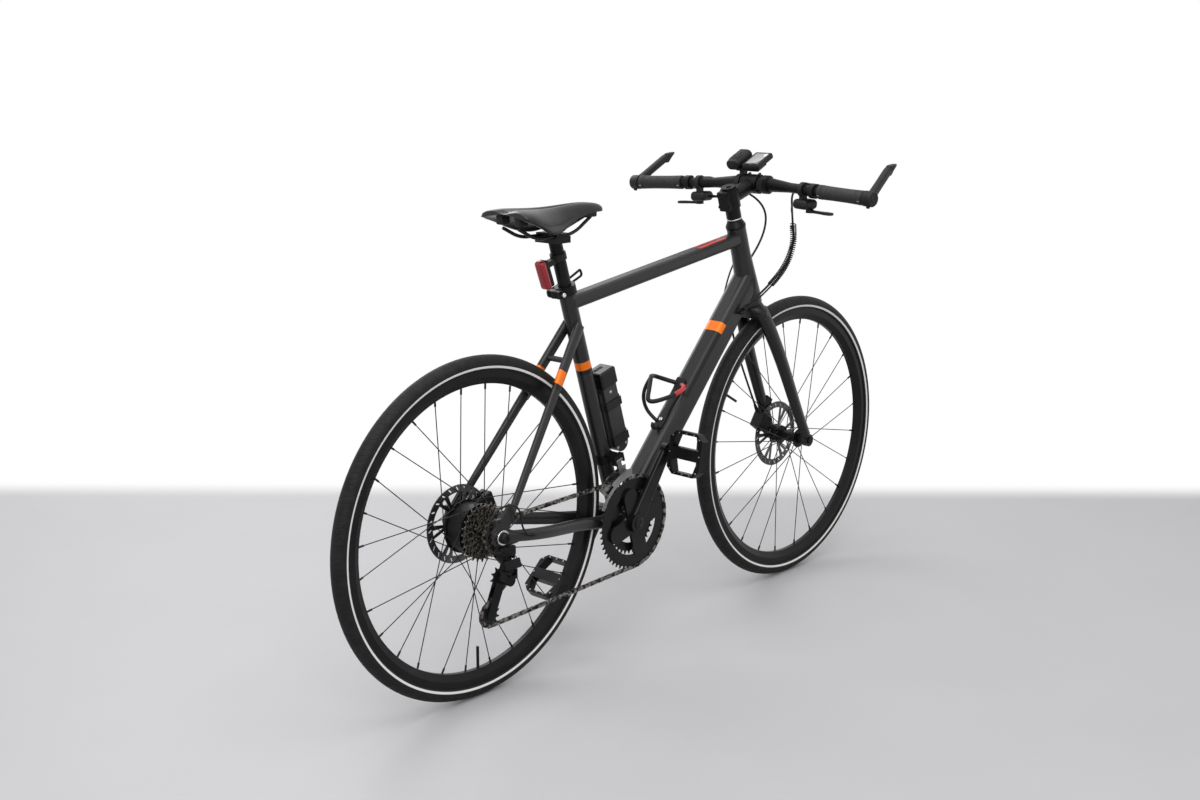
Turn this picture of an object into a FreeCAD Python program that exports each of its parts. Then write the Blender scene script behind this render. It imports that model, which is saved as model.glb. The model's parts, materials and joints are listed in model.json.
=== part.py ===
"""Flat-bar hybrid bicycle as a parametric FreeCAD document, in millimetres.

+X points forward, +Y to the rider's left and +Z up. The origin is on the ground, midway between the wheels.
"""
import FreeCAD, Part
import Sketcher
import math
import os
import re

from FreeCAD import Placement, Rotation, Vector

doc = FreeCAD.newDocument("HybridBike")

# Driving dimensions: alias, value, what it is
SIZES = [
    ("wheel_base", 1030, "axle to axle, along the ground"),
    ("bead_d", 622, "bead seat diameter of the rims"),
    ("tyre_section", 35, "width of the tyre's round section"),
    ("tyre_seat", 1, "how far the section sinks below the bead seat"),
    ("tyre_wall", 3, "thickness of the tyre's casing"),
    ("bead_w", 2, "width of a bead ring"),
    ("rim_w", 25, "outer width across the rim's flanges"),
    ("rim_depth", 28, "depth of the rim's section"),
    ("rim_flange", 2, "thickness of a rim flange"),
    ("rim_hook", 6, "height of a flange above the bead seat"),
    ("rim_bed", 5, "rim bed below the bead seat"),
    ("rim_nose_w", 9, "width of the rim's inner edge"),
    ("spoke_d", 2, "spoke diameter"),
    ("nipple_d", 4.2, "nipple diameter"),
    ("nipple_len", 12, "nipple length"),
    ("valve_d", 6, "valve stem diameter"),
    ("valve_len", 45, "valve stem length past the rim"),
    ("front_spoke_count", 24, "front spokes"),
    ("rear_spoke_count", 28, "rear spokes"),
    ("front_old", 100, "front dropout spacing"),
    ("rear_old", 135, "rear dropout spacing"),
    ("axle_d", 12, "axle diameter"),
    ("run_gap", 0.05, "radial clearance of a running or sliding fit"),
    ("face_gap", 0.3, "clearance between faces that move past each other"),
    ("hub_d", 24, "front hub barrel diameter"),
    ("front_flange_d", 45, "front hub flange diameter"),
    ("flange_t", 3, "hub flange thickness"),
    ("motor_d", 100, "rear hub motor case diameter"),
    ("motor_w", 46, "rear hub motor case width"),
    ("rotor_d", 160, "brake rotor diameter"),
    ("rotor_t", 1.8, "brake rotor thickness"),
    ("rotor_track", 15, "radial width of the braking track"),
    ("rotor_mount_d", 34, "rotor mount diameter on the hubs"),
    ("front_rotor_y", 39.5, "front rotor plane, left of the middle"),
    ("rear_rotor_y", 52.2, "rear rotor plane, left of the middle"),
    ("chainstay_run", 410, "rear axle to crank axle, along the ground"),
    ("bb_drop", 68, "crank axle below the wheel axles"),
    ("seat_angle", 73, "seat tube angle, in degrees"),
    ("seat_tube_len", 545, "crank axle to the seat tube's top"),
    ("seat_tube_d", 34, "seat tube outer diameter"),
    ("seatpost_d", 27.2, "seatpost diameter"),
    ("seatpost_in", 150, "seatpost length held in the seat tube"),
    ("seatpost_out", 88, "seatpost showing above the seat tube"),
    ("head_angle", 71.5, "steering axis angle, in degrees"),
    ("fork_rake", 47, "fork offset from the steering axis"),
    ("crown_len", 380, "crown race from the axle, along the steering axis"),
    ("crown_h", 26, "height of the fork crown"),
    ("cup_lip", 4, "height of a headset cup outside the head tube"),
    ("cup_in", 12, "depth of a cup inside its tube"),
    ("head_tube_len", 190, "head tube length"),
    ("head_top_d", 44, "head tube diameter at the top"),
    ("head_low_d", 55, "head tube diameter at the bottom"),
    ("head_bore_d", 40, "bore for the headset cups"),
    ("steerer_d", 28.6, "fork steerer diameter"),
    ("spacer_d", 34, "headset spacer diameter"),
    ("spacer_h", 32, "height of the spacer stack"),
    ("cover_h", 12, "height of the conical headset cover"),
    ("top_tube_w", 36, "top tube width"),
    ("top_tube_h", 29, "top tube height"),
    ("top_tube_drop", 37, "top tube joint below the seat tube's top"),
    ("top_tube_head", 546, "top tube joint along the steering axis"),
    ("down_tube_w", 50, "down tube width"),
    ("down_tube_h", 57, "down tube height"),
    ("down_tube_r", 15, "down tube corner radius"),
    ("down_tube_head", 442, "down tube joint along the steering axis"),
    ("down_tube_low", 13, "down tube axis ahead of the crank axle"),
    ("tube_wall", 2.5, "wall of the top and down tubes"),
    ("bb_width", 68, "crank axle shell width"),
    ("bb_shell_d", 42, "crank axle shell diameter"),
    ("bb_bore_d", 35, "bore for the crank bearing cups"),
    ("bb_cup_d", 44, "outside diameter of a crank bearing cup"),
    ("bb_cup_w", 9, "cup width outside the shell"),
    ("stay_h", 26, "chainstay height"),
    ("stay_w", 15, "chainstay width"),
    ("seatstay_drop", 85, "seatstay joint below the seat tube's top"),
    ("seatstay_d", 15, "seatstay diameter at the dropout"),
    ("dropout_t", 7, "dropout plate thickness"),
    ("dropout_d", 40, "dropout plate diameter round the axle"),
    ("eyelet_d", 5, "rack eyelet bore"),
    ("eyelet_up", 30, "rack eyelet above the axle"),
    ("stem_len", 85, "steering axis to handlebar"),
    ("stem_clamp_h", 44, "stem clamp height on the steerer"),
    ("stem_d", 34, "stem body diameter"),
    ("stem_clamp_d", 40, "stem clamp diameter on the steerer"),
    ("bar_clamp_d", 31.8, "handlebar diameter in the stem"),
    ("bar_d", 22.2, "handlebar diameter at the grips"),
    ("bar_half", 340, "half the handlebar's length"),
    ("bar_bulge", 50, "half the length of the thick middle"),
    ("bar_taper", 60, "length of each taper"),
    ("bar_sweep", 27, "how far the ends sweep back"),
    ("bar_fall", 13, "how far the ends drop"),
    ("grip_d", 32, "grip diameter"),
    ("grip_len", 122, "grip length"),
    ("bar_end_w", 24, "width of a bar-end clamp"),
    ("bar_end_d", 34, "diameter of a bar-end clamp"),
    ("bar_end_len", 118, "reach of a bar-end horn"),
    ("lever_clamp_d", 33, "brake and shift clamp diameter"),
    ("lever_clamp_w", 13, "brake and shift clamp width"),
    ("lever_gap", 11, "grip to brake clamp"),
    ("shift_step", 30, "brake clamp to shift clamp"),
    ("crank_len", 170, "crank length"),
    ("crank_angle", 60, "right crank above the horizon, in degrees"),
    ("spindle_d", 24, "crank spindle diameter"),
    ("pedal_eye_y", 72, "outer face of the crank at the pedal"),
    ("pedal_axle_d", 14, "pedal axle diameter"),
    ("pedal_w", 88, "pedal width along its axle"),
    ("pedal_len", 94, "pedal length across its axle"),
    ("pedal_h", 22, "pedal height"),
    ("chain_pitch", 12.7, "chain pitch"),
    ("roller_d", 7.7, "chain roller diameter"),
    ("big_ring_teeth", 50, "outer chainring teeth"),
    ("small_ring_teeth", 34, "inner chainring teeth"),
    ("big_ring_y", 46.9, "outer chainring plane, right of the middle"),
    ("ring_step", 7, "outer to inner chainring"),
    ("ring_t", 1.7, "chainring thickness"),
    ("cog_t", 1.5, "sprocket thickness"),
    ("cog_step", 3.7, "sprocket to sprocket"),
    ("cog_inner_y", 25, "largest sprocket's plane, right of the middle"),
    ("freehub_d", 34, "freehub body diameter"),
    ("pulley_teeth", 11, "derailleur pulley teeth"),
    ("guide_x", 13, "guide pulley ahead of the rear axle"),
    ("guide_drop", 89, "guide pulley below the rear axle"),
    ("cage_len", 76, "derailleur pulley spacing"),
    ("cage_plate_t", 1.6, "derailleur cage plate thickness"),
    ("cage_gap", 10, "inside width of the derailleur cage"),
    ("swing_len", 32, "derailleur link length"),
    ("swing_tilt", 20, "derailleur link's lean outwards, in degrees"),
    ("lock_w", 38, "folding lock width"),
    ("lock_depth", 40, "folding lock depth off its holder"),
    ("lock_len", 152, "folding lock bars, length"),
    ("lock_head_h", 38, "folding lock head height"),
    ("cage_up", 294, "bottle cage top above the crank axle, along the down tube"),
    ("bottle_d", 74, "bottle diameter"),
    ("cage_wire_d", 8, "bottle cage rail diameter"),
    ("saddle_len", 273, "saddle length"),
    ("saddle_w", 140, "saddle width"),
    ("rail_d", 7, "saddle rail diameter"),
    ("rail_gauge", 44, "saddle rail spacing"),
    ("hose_d", 5, "brake hose diameter"),
    ("cable_d", 4, "shift cable housing diameter"),
    ("computer_w", 48, "bike computer width"),
    ("computer_len", 62, "bike computer length"),
    ("computer_t", 14, "bike computer thickness"),
]

sheet = doc.addObject("Spreadsheet::Sheet", "Sizes")
for row, (alias, value, note) in enumerate(SIZES, start=1):
    sheet.set(f"A{row}", alias)
    sheet.set(f"B{row}", str(value))
    sheet.set(f"C{row}", note)
    sheet.setAlias(f"B{row}", alias)
doc.recompute()

ALIASES = {alias for alias, _, _ in SIZES}
NODES = {}


def sized(text):
    """An expression for a property, with each size named as its cell."""
    def with_sheet(word):
        return "Sizes." + word.group() if word.group() in ALIASES else word.group()

    return re.sub(r"[a-z_]+", with_sheet, text)


def num(text):
    """The value of a size or of a sum of sizes, read from the sheet."""
    return float(sheet.evalExpression(sized(text)))


def facing(origin, normal, forward=Vector(1, 0, 0)):
    """A placement whose Z runs along the normal and whose X lies as near to forward as it can."""
    z_dir = Vector(normal).normalize()
    x_dir = (forward - z_dir * forward.dot(z_dir)).normalize()
    return Placement(origin, Rotation(x_dir, z_dir.cross(x_dir), z_dir, "ZXY"))


def side_view(origin):
    """A placement seen from the right: X forward, Y up, Z to the right."""
    return facing(origin, Vector(0, -1, 0))


def node(label, pieces):
    """Keep the pieces of one node: one object as it is, several as a compound of separate solids."""
    if len(pieces) == 1:
        NODES[label] = pieces[0]
        pieces[0].Label = label
        return
    group = doc.addObject("Part::Compound", label)
    group.Links = pieces
    NODES[label] = group


def made(label, shape):
    """A piece whose form no primitive or sketch gives."""
    piece = doc.addObject("Part::Feature", label)
    piece.Shape = shape
    return piece


def outline_sketch(body, label, plane_role, outlines):
    """A sketch of closed straight outlines, with every corner tied to its sizes."""
    sketch = body.newObject("Sketcher::SketchObject", label)
    plane = [item for item in body.Origin.OriginFeatures if item.Role == plane_role][0]
    sketch.AttachmentSupport = [(plane, "")]
    sketch.MapMode = "FlatFace"
    for outline in outlines:
        corners = [Vector(num(x_text), num(y_text), 0) for x_text, y_text in outline]
        first = sketch.GeometryCount
        for index, corner in enumerate(corners):
            sketch.addGeometry(Part.LineSegment(corner, corners[(index + 1) % len(corners)]))
        for index in range(len(corners)):
            following = first + (index + 1) % len(corners)
            sketch.addConstraint(Sketcher.Constraint("Coincident", first + index, 2, following, 1))
        for index, (x_text, y_text) in enumerate(outline):
            corner = corners[index]
            for kind, value, text in (("DistanceX", corner.x, x_text), ("DistanceY", corner.y, y_text)):
                tie = sketch.addConstraint(Sketcher.Constraint(kind, -1, 1, first + index, 1, value))
                sketch.setExpression(f"Constraints[{tie}]", sized(text))
    return sketch


def turned(label, outline, place):
    """A body turned about its own Z from an outline of radius and height."""
    body = doc.addObject("PartDesign::Body", label)
    sketch = outline_sketch(body, label + "_outline", "XZ_Plane", [outline])
    turn = body.newObject("PartDesign::Revolution", label + "_turn")
    turn.Profile = sketch
    turn.ReferenceAxis = (sketch, ["V_Axis"])
    turn.Angle = 360
    body.Placement = place
    return body


def plate(label, outlines, thickness, place):
    """A body padded from straight outlines; an outline inside another is a window."""
    body = doc.addObject("PartDesign::Body", label)
    sketch = outline_sketch(body, label + "_outline", "XY_Plane", outlines)
    pad = body.newObject("PartDesign::Pad", label + "_pad")
    pad.Profile = sketch
    pad.setExpression("Length", sized(thickness))
    body.Placement = place
    return body


def rod(label, start, end, radius):
    """A round bar between two points."""
    piece = doc.addObject("Part::Cylinder", label)
    piece.setExpression("Radius", sized(radius))
    piece.Height = (end - start).Length
    piece.Placement = facing(start, end - start, Vector(0.6, 0.8, 0.01))
    return piece


def block(label, centre, sizes, place=Placement()):
    """A box about a centre, given in the axes of a placement."""
    piece = doc.addObject("Part::Box", label)
    for side, text in zip(("Length", "Width", "Height"), sizes):
        piece.setExpression(side, sized(text))
    half = Vector(*[num(text) / 2 for text in sizes])
    piece.Placement = place.multiply(Placement(centre - half, Rotation()))
    return piece


def joined(label, pieces, merged=True):
    """Pieces made as one solid, with faces in one plane merged."""
    piece = doc.addObject("Part::MultiFuse", label)
    piece.Shapes = pieces
    piece.Refine = merged
    return piece


def cut(label, base, tools):
    """A piece with others taken out of it."""
    tool = tools[0]
    if len(tools) > 1:
        tool = joined(label + "_tools", tools)
    piece = doc.addObject("Part::Cut", label)
    piece.Base = base
    piece.Tool = tool
    return piece


def ring(label, start, end, outer, inner):
    """A round tube between two points."""
    return cut(label, rod(label + "_outer", start, end, outer), [rod(label + "_bore", start, end, inner)])


def oval(centre, normal, across, half_across, half_other):
    """A closed oval wire: half widths along the across direction and square to it."""
    normal = Vector(normal).normalize()
    across = (across - normal * across.dot(normal)).normalize()
    other = normal.cross(across)
    if half_across >= half_other:
        curve = Part.Ellipse(centre + across * half_across, centre + other * half_other, centre)
    else:
        curve = Part.Ellipse(centre + other * half_other, centre + across * half_across, centre)
    return Part.Wire(curve.toShape())


def rounded(centre, x_dir, y_dir, width, height, radius):
    """A closed rectangle wire with round corners."""
    half_w = width / 2
    half_h = height / 2
    turn = radius * (1 - math.sqrt(0.5))

    def at(across, up):
        return centre + x_dir * across + y_dir * up

    edges = []
    for side_x, side_y in ((1, 1), (-1, 1), (-1, -1), (1, -1)):
        along = at(side_x * (half_w - radius), side_y * half_h)
        upright = at(side_x * half_w, side_y * (half_h - radius))
        middle = at(side_x * (half_w - turn), side_y * (half_h - turn))
        start, end = (upright, along) if side_x == side_y else (along, upright)
        edges.append((start, middle, end))
    parts = []
    for index, (start, middle, end) in enumerate(edges):
        parts.append(Part.Arc(start, middle, end).toShape())
        following = edges[(index + 1) % 4][0]
        parts.append(Part.LineSegment(end, following).toShape())
    return Part.Wire(parts)


def loft(wires, ruled=False):
    """A solid through closed wires."""
    return Part.makeLoft(wires, True, ruled)


def routed(points, radius, cord_name):
    """A round cord along straight runs joined by tangent arcs, as large as the runs allow."""
    edges = []
    start = points[0]
    radii = []
    for before, corner, after in zip(points, points[1:], points[2:]):
        run_in = before - corner
        run_out = after - corner
        reach = 0.45 * min(run_in.Length, run_out.Length)
        run_in.normalize()
        run_out.normalize()
        half_turn = (math.pi - run_in.getAngle(run_out)) / 2
        bend = reach / math.tan(half_turn)
        radii.append(bend)
        arc_in = corner + run_in * reach
        arc_out = corner + run_out * reach
        bisector = (run_in + run_out).normalize()
        middle = corner + bisector * (bend / math.cos(half_turn) - bend)
        edges.append(Part.LineSegment(start, arc_in).toShape())
        edges.append(Part.Arc(arc_in, middle, arc_out).toShape())
        start = arc_out
    edges.append(Part.LineSegment(start, points[-1]).toShape())
    path = Part.Wire(edges)
    heading = points[1] - points[0]
    profile = Part.Wire(Part.Circle(points[0], heading, radius).toShape())
    cord = path.makePipeShell([profile], True, False)
    expected = math.pi * radius ** 2 * path.Length
    smallest = min(radii) if radii else 0
    print(f"{cord_name}: length {path.Length:.1f}, smallest bend {smallest:.1f}, "
          f"volume ratio {cord.Volume / expected:.4f}")
    return cord


# Points that the rest is placed by
wheel_r = num("bead_d / 2 + tyre_section - tyre_seat")
rear = Vector(-num("wheel_base / 2"), 0, wheel_r)
front = Vector(num("wheel_base / 2"), 0, wheel_r)
crank = rear + Vector(num("chainstay_run"), 0, -num("bb_drop"))
seat_turn = math.radians(num("seat_angle"))
seat_up = Vector(-math.cos(seat_turn), 0, math.sin(seat_turn))
seat_fore = Vector(math.sin(seat_turn), 0, math.cos(seat_turn))
head_turn = math.radians(num("head_angle"))
steer_up = Vector(-math.cos(head_turn), 0, math.sin(head_turn))
steer_fore = Vector(math.sin(head_turn), 0, math.cos(head_turn))
steer_foot = front - steer_fore * num("fork_rake")
left = Vector(0, 1, 0)


def on_seat(distance):
    """A point on the seat tube's axis."""
    return crank + seat_up * distance


def on_steer(distance):
    """A point on the steering axis."""
    return steer_foot + steer_up * distance


# Wheels
def tyre(label, centre):
    """A casing round the rim with a bead ring inside each flange."""
    place = side_view(centre)
    solids = []
    for name, section in (("outer", "tyre_section / 2"), ("inner", "tyre_section / 2 - tyre_wall")):
        torus = doc.addObject("Part::Torus", f"{label}_{name}")
        torus.setExpression("Radius1", sized("bead_d / 2 + tyre_section / 2 - tyre_seat"))
        torus.setExpression("Radius2", sized(section))
        torus.Placement = place
        solids.append(torus)
    half = left * num("tyre_section")
    inside = rod(label + "_inside", centre - half, centre + half, "bead_d / 2 + rim_hook")
    casing = cut(label + "_casing", solids[0], [solids[1], inside])
    beads = []
    for side, sign in (("left", 1), ("right", -1)):
        outer_y = sign * num("rim_w / 2 - rim_flange")
        inner_y = outer_y - sign * num("bead_w")
        beads.append(ring(f"{label}_bead_{side}", centre + left * inner_y, centre + left * outer_y,
                          "bead_d / 2 + rim_hook + 2.5", "bead_d / 2"))
    return joined(label, [casing] + beads)


def rim(label, centre, valve_turn):
    """A deep rim with a hollow bed and a valve stem at an angle from straight ahead."""
    outline = [
        ("bead_d / 2 + rim_hook - rim_depth", "-rim_nose_w / 2"),
        ("bead_d / 2 + rim_hook - rim_depth", "rim_nose_w / 2"),
        ("bead_d / 2 + rim_hook - rim_depth * 0.5", "rim_w / 2"),
        ("bead_d / 2 + rim_hook", "rim_w / 2"),
        ("bead_d / 2 + rim_hook", "rim_w / 2 - rim_flange"),
        ("bead_d / 2", "rim_w / 2 - rim_flange"),
        ("bead_d / 2", "rim_w / 2 - rim_flange - bead_w - 1"),
        ("bead_d / 2 - rim_bed", "rim_w / 4"),
        ("bead_d / 2 - rim_bed", "-rim_w / 4"),
        ("bead_d / 2", "-rim_w / 2 + rim_flange + bead_w + 1"),
        ("bead_d / 2", "-rim_w / 2 + rim_flange"),
        ("bead_d / 2 + rim_hook", "-rim_w / 2 + rim_flange"),
        ("bead_d / 2 + rim_hook", "-rim_w / 2"),
        ("bead_d / 2 + rim_hook - rim_depth * 0.5", "-rim_w / 2"),
    ]
    hoop = turned(label + "_hoop", outline, side_view(centre))
    inner = num("bead_d / 2 + rim_hook - rim_depth")
    toward = Vector(math.cos(math.radians(valve_turn)), 0, math.sin(math.radians(valve_turn)))
    valve = rod(label + "_valve", centre + toward * (inner - 0.02),
                centre + toward * (inner - num("valve_len")), "valve_d / 2")
    return [hoop, valve]


def spokes(label, centre, count, flanges):
    """Spokes laced from both flanges, each with its nipple against the rim."""
    shapes = []
    inner = num("bead_d / 2 + rim_hook - rim_depth") - 0.15
    per_side = count // 2
    for sign, flange_y, flange_r in flanges:
        for index in range(per_side):
            outside = 1 if index % 2 else -1
            lean = math.radians(62) * outside
            rim_turn = 2 * math.pi * (index + (0.25 if sign > 0 else 0.75)) / per_side
            hub_turn = rim_turn - lean
            face = num("flange_t / 2 + spoke_d / 2") + (0.85 if outside == sign else 0.05)
            start = centre + Vector(flange_r * math.sin(hub_turn), flange_y + outside * face,
                                    flange_r * math.cos(hub_turn))
            end = centre + Vector(inner * math.sin(rim_turn), sign * num("rim_nose_w / 6"),
                                  inner * math.cos(rim_turn))
            heading = (end - start).normalize()
            collar = end - heading * num("nipple_len")
            wire = Part.makeCylinder(num("spoke_d / 2"), (collar - start).Length, start, heading)
            nipple = Part.makeCylinder(num("nipple_d / 2"), num("nipple_len") - 0.4, collar, heading)
            shapes.append(wire.fuse(nipple))
    return made(label, Part.makeCompound(shapes))


def rotor(label, centre, plane_y):
    """A brake rotor: a slotted track on slanted arms about a mount ring."""
    outer = num("rotor_d / 2")
    track = outer - num("rotor_track")
    mount = num("rotor_mount_d / 2")
    disc = Part.makeCylinder(outer, num("rotor_t"))
    disc = disc.cut(Part.makeCylinder(mount, num("rotor_t")))
    cutters = []
    arms = 6
    for index in range(arms):
        turn = 360 / arms * index
        window = Part.makeCylinder(track, num("rotor_t"), Vector(), Vector(0, 0, 1), 360 / arms - 9)
        window = window.cut(Part.makeCylinder(mount + 7, num("rotor_t")))
        bar = Part.makeBox(outer, 7, num("rotor_t"), Vector(mount - 6, -8, 0))
        bar.rotate(Vector(mount, 0, 0), Vector(0, 0, 1), 22)
        window = window.cut(bar)
        window.rotate(Vector(), Vector(0, 0, 1), turn)
        cutters.append(window)
    slots = 24
    for index in range(slots):
        slot = Part.makeBox(9, 2.6, num("rotor_t"), Vector(track + 3, -1.3, 0))
        slot.rotate(Vector(track + 7.5, 0, 0), Vector(0, 0, 1), 35)
        slot.rotate(Vector(), Vector(0, 0, 1), 360 / slots * index)
        cutters.append(slot)
    piece = made(label, disc.cut(cutters))
    piece.Placement = side_view(centre + left * (plane_y + num("rotor_t / 2")))
    return piece


bore = "axle_d / 2 + run_gap"
front_hub = turned("front_hub_shell", [
    ("axle_d / 2 + 4", "-front_old / 2 + face_gap"),
    ("rotor_mount_d / 2 - 4", "-front_old / 2 + face_gap"),
    ("rotor_mount_d / 2 - 4", "-front_rotor_y - 3.5"),
    ("rotor_mount_d / 2", "-front_rotor_y - 3.5"),
    ("rotor_mount_d / 2", "-23"),
    ("front_flange_d / 2", "-23"),
    ("front_flange_d / 2", "-23 + flange_t"),
    ("hub_d / 2", "-23 + flange_t"),
    ("hub_d / 2", "33 - flange_t"),
    ("front_flange_d / 2", "33 - flange_t"),
    ("front_flange_d / 2", "33"),
    ("hub_d / 2", "33"),
    ("hub_d / 2", "front_old / 2 - face_gap"),
    ("axle_d / 2 + 4", "front_old / 2 - face_gap"),
], side_view(front))
front_bearings = [
    ring(f"front_bearing_{side}", front + left * (sign * num("front_old / 2 - face_gap")),
         front + left * (sign * num("front_old / 2 - 12")), "axle_d / 2 + 4", bore)
    for side, sign in (("left", 1), ("right", -1))
]
node("front_hub", [front_hub] + front_bearings)
node("front_tyre", [tyre("front_tyre", front)])
node("front_rim", rim("front_rim", front, 150))
node("front_spokes", [spokes("front_spokes", front, int(num("front_spoke_count")), [
    (1, 23 - num("flange_t / 2"), num("front_flange_d / 2") - 3),
    (-1, -33 + num("flange_t / 2"), num("front_flange_d / 2") - 3),
])])
node("front_rotor", [rotor("front_rotor", front, num("front_rotor_y"))])

motor_left = "-motor_w / 2 - 9"
motor_right = "motor_w / 2 - 9"
rear_hub = turned("rear_hub_shell", [
    ("axle_d / 2 + 4", "-rear_rotor_y - 4"),
    ("rotor_mount_d / 2", "-rear_rotor_y - 4"),
    ("rotor_mount_d / 2", "-rear_rotor_y + 5"),
    ("rotor_mount_d / 2 + 6", "-rear_rotor_y + 9"),
    ("motor_d / 2 - 6", motor_left + " - 4"),
    ("motor_d / 2 - 1", motor_left),
    ("motor_d / 2 + 4", motor_left),
    ("motor_d / 2 + 4", motor_left + " + flange_t"),
    ("motor_d / 2", motor_left + " + flange_t"),
    ("motor_d / 2", motor_right + " - flange_t"),
    ("motor_d / 2 + 4", motor_right + " - flange_t"),
    ("motor_d / 2 + 4", motor_right),
    ("motor_d / 2 - 1", motor_right),
    ("motor_d / 2 - 8", motor_right + " + 4"),
    ("axle_d / 2 + 4", motor_right + " + 4"),
], side_view(rear))
rear_bearings = [
    ring("rear_bearing_left", rear + left * num("rear_rotor_y + 4"), rear + left * num("rear_rotor_y - 8"),
         "axle_d / 2 + 4", bore),
    ring("rear_bearing_right", rear - left * num(motor_right + " + 4"),
         rear - left * num(motor_right + " - 8"), "axle_d / 2 + 4", bore),
]
node("rear_hub", [rear_hub] + rear_bearings)
node("rear_tyre", [tyre("rear_tyre", rear)])
node("rear_rim", rim("rear_rim", rear, -90))
node("rear_spokes", [spokes("rear_spokes", rear, int(num("rear_spoke_count")), [
    (1, -num(motor_left) - num("flange_t / 2"), num("motor_d / 2") + 2.2),
    (-1, -num(motor_right) + num("flange_t / 2"), num("motor_d / 2") + 2.2),
])])
node("rear_rotor", [rotor("rear_rotor", rear, num("rear_rotor_y"))])

# Main frame
head_low = num("crown_len + cup_lip")
head_high = head_low + num("head_tube_len")
head_profile = [
    ("head_low_d / 2", "0"),
    ("head_low_d / 2", "25"),
    ("head_top_d / 2", "head_tube_len * 0.65"),
    ("head_top_d / 2", "head_tube_len"),
]
head_place = facing(on_steer(head_low), steer_up)
head_bore = [("head_bore_d / 2", "head_tube_len"), ("head_bore_d / 2", "0")]
head_tube = turned("head_tube", head_profile + head_bore, head_place)
head_plug = rod("head_plug", on_steer(head_low), on_steer(head_high), "head_bore_d / 2")
head_core = joined("head_core", [head_tube, head_plug])

half_shell = left * num("bb_width / 2")
shell = ring("crank_shell", crank - half_shell, crank + half_shell, "bb_shell_d / 2", "bb_bore_d / 2")
shell_core = rod("shell_core", crank - half_shell, crank + half_shell, "bb_shell_d / 2")

seat_top = on_seat(num("seat_tube_len"))
seat_core = rod("seat_core", crank, seat_top, "seat_tube_d / 2")
seat_bore = rod("seat_bore", on_seat(num("bb_shell_d / 2") + 9), seat_top, "seatpost_d / 2 + run_gap")
seat_tube = cut("seat_tube", seat_core, [seat_bore, shell_core])


def box_tube(label, start, end, width, height, corner):
    """A thin tube of rounded rectangular section between two points."""
    along = (end - start).normalize()
    upright = left.cross(along) * -1
    walls = []
    for inset in (0, num("tube_wall")):
        wire = rounded(start, left, upright, width - 2 * inset, height - 2 * inset, corner - inset)
        walls.append(Part.Face(wire).extrude(end - start))
    return made(label, walls[0].cut(walls[1]))


down_start = crank + Vector(num("down_tube_low"), 0, 0)
down_end = on_steer(num("down_tube_head"))
down_along = (down_end - down_start).normalize()
down_up = Vector(-down_along.z, 0, down_along.x)
down_whole = box_tube("down_whole", down_start, down_end,
                      num("down_tube_w"), num("down_tube_h"), num("down_tube_r"))
down_tube = cut("down_tube", down_whole, [shell_core, seat_core, head_core])
top_start = on_seat(num("seat_tube_len - top_tube_drop"))
top_end = on_steer(num("top_tube_head"))
top_corner = 10
top_whole = box_tube("top_whole", top_start, top_end, num("top_tube_w"), num("top_tube_h"), top_corner)
top_tube = cut("top_tube", top_whole, [seat_core, head_core])


def down_at(distance, sideways=0, above=0):
    """A point by the down tube: distance below its head end, to the left, and above its axis."""
    return down_end - down_along * distance + left * sideways + down_up * above


ports = []
for side, sign, distance in (("right", -1, 85), ("left", 1, 62)):
    wall = sign * num("down_tube_w / 2")
    boss = rod(f"port_{side}", down_at(distance, wall), down_at(distance, wall + sign * 6), "7")
    ports.append(boss)
node("main_frame", [head_tube, top_tube, down_tube, seat_tube, shell] + ports)

cup_bore = "steerer_d / 2 + run_gap"
lower_cup = turned("lower_cup", [
    (cup_bore, "face_gap"),
    ("head_low_d / 2 - 1", "face_gap"),
    ("head_low_d / 2 - 1", "cup_lip"),
    ("head_bore_d / 2", "cup_lip"),
    ("head_bore_d / 2", "cup_lip + cup_in"),
    (cup_bore, "cup_lip + cup_in"),
], facing(on_steer(num("crown_len")), steer_up))
upper_cup = turned("upper_cup", [
    (cup_bore, "-cup_in"),
    ("head_bore_d / 2", "-cup_in"),
    ("head_bore_d / 2", "0"),
    ("head_top_d / 2 + 1", "0"),
    ("head_top_d / 2 + 1", "cup_lip"),
    (cup_bore, "cup_lip"),
], facing(on_steer(head_high), steer_up))
node("headset_cups", [lower_cup, upper_cup])

crank_cups = []
for side, sign in (("left", 1), ("right", -1)):
    crank_cups.append(turned(f"crank_cup_{side}", [
        ("spindle_d / 2 + run_gap", "-cup_in"),
        ("bb_bore_d / 2", "-cup_in"),
        ("bb_bore_d / 2", "0"),
        ("bb_cup_d / 2", "0"),
        ("bb_cup_d / 2", "bb_cup_w"),
        ("spindle_d / 2 + run_gap", "bb_cup_w"),
    ], facing(crank + half_shell * sign, left * sign)))
node("bottom_bracket_cups", crank_cups)

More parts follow.
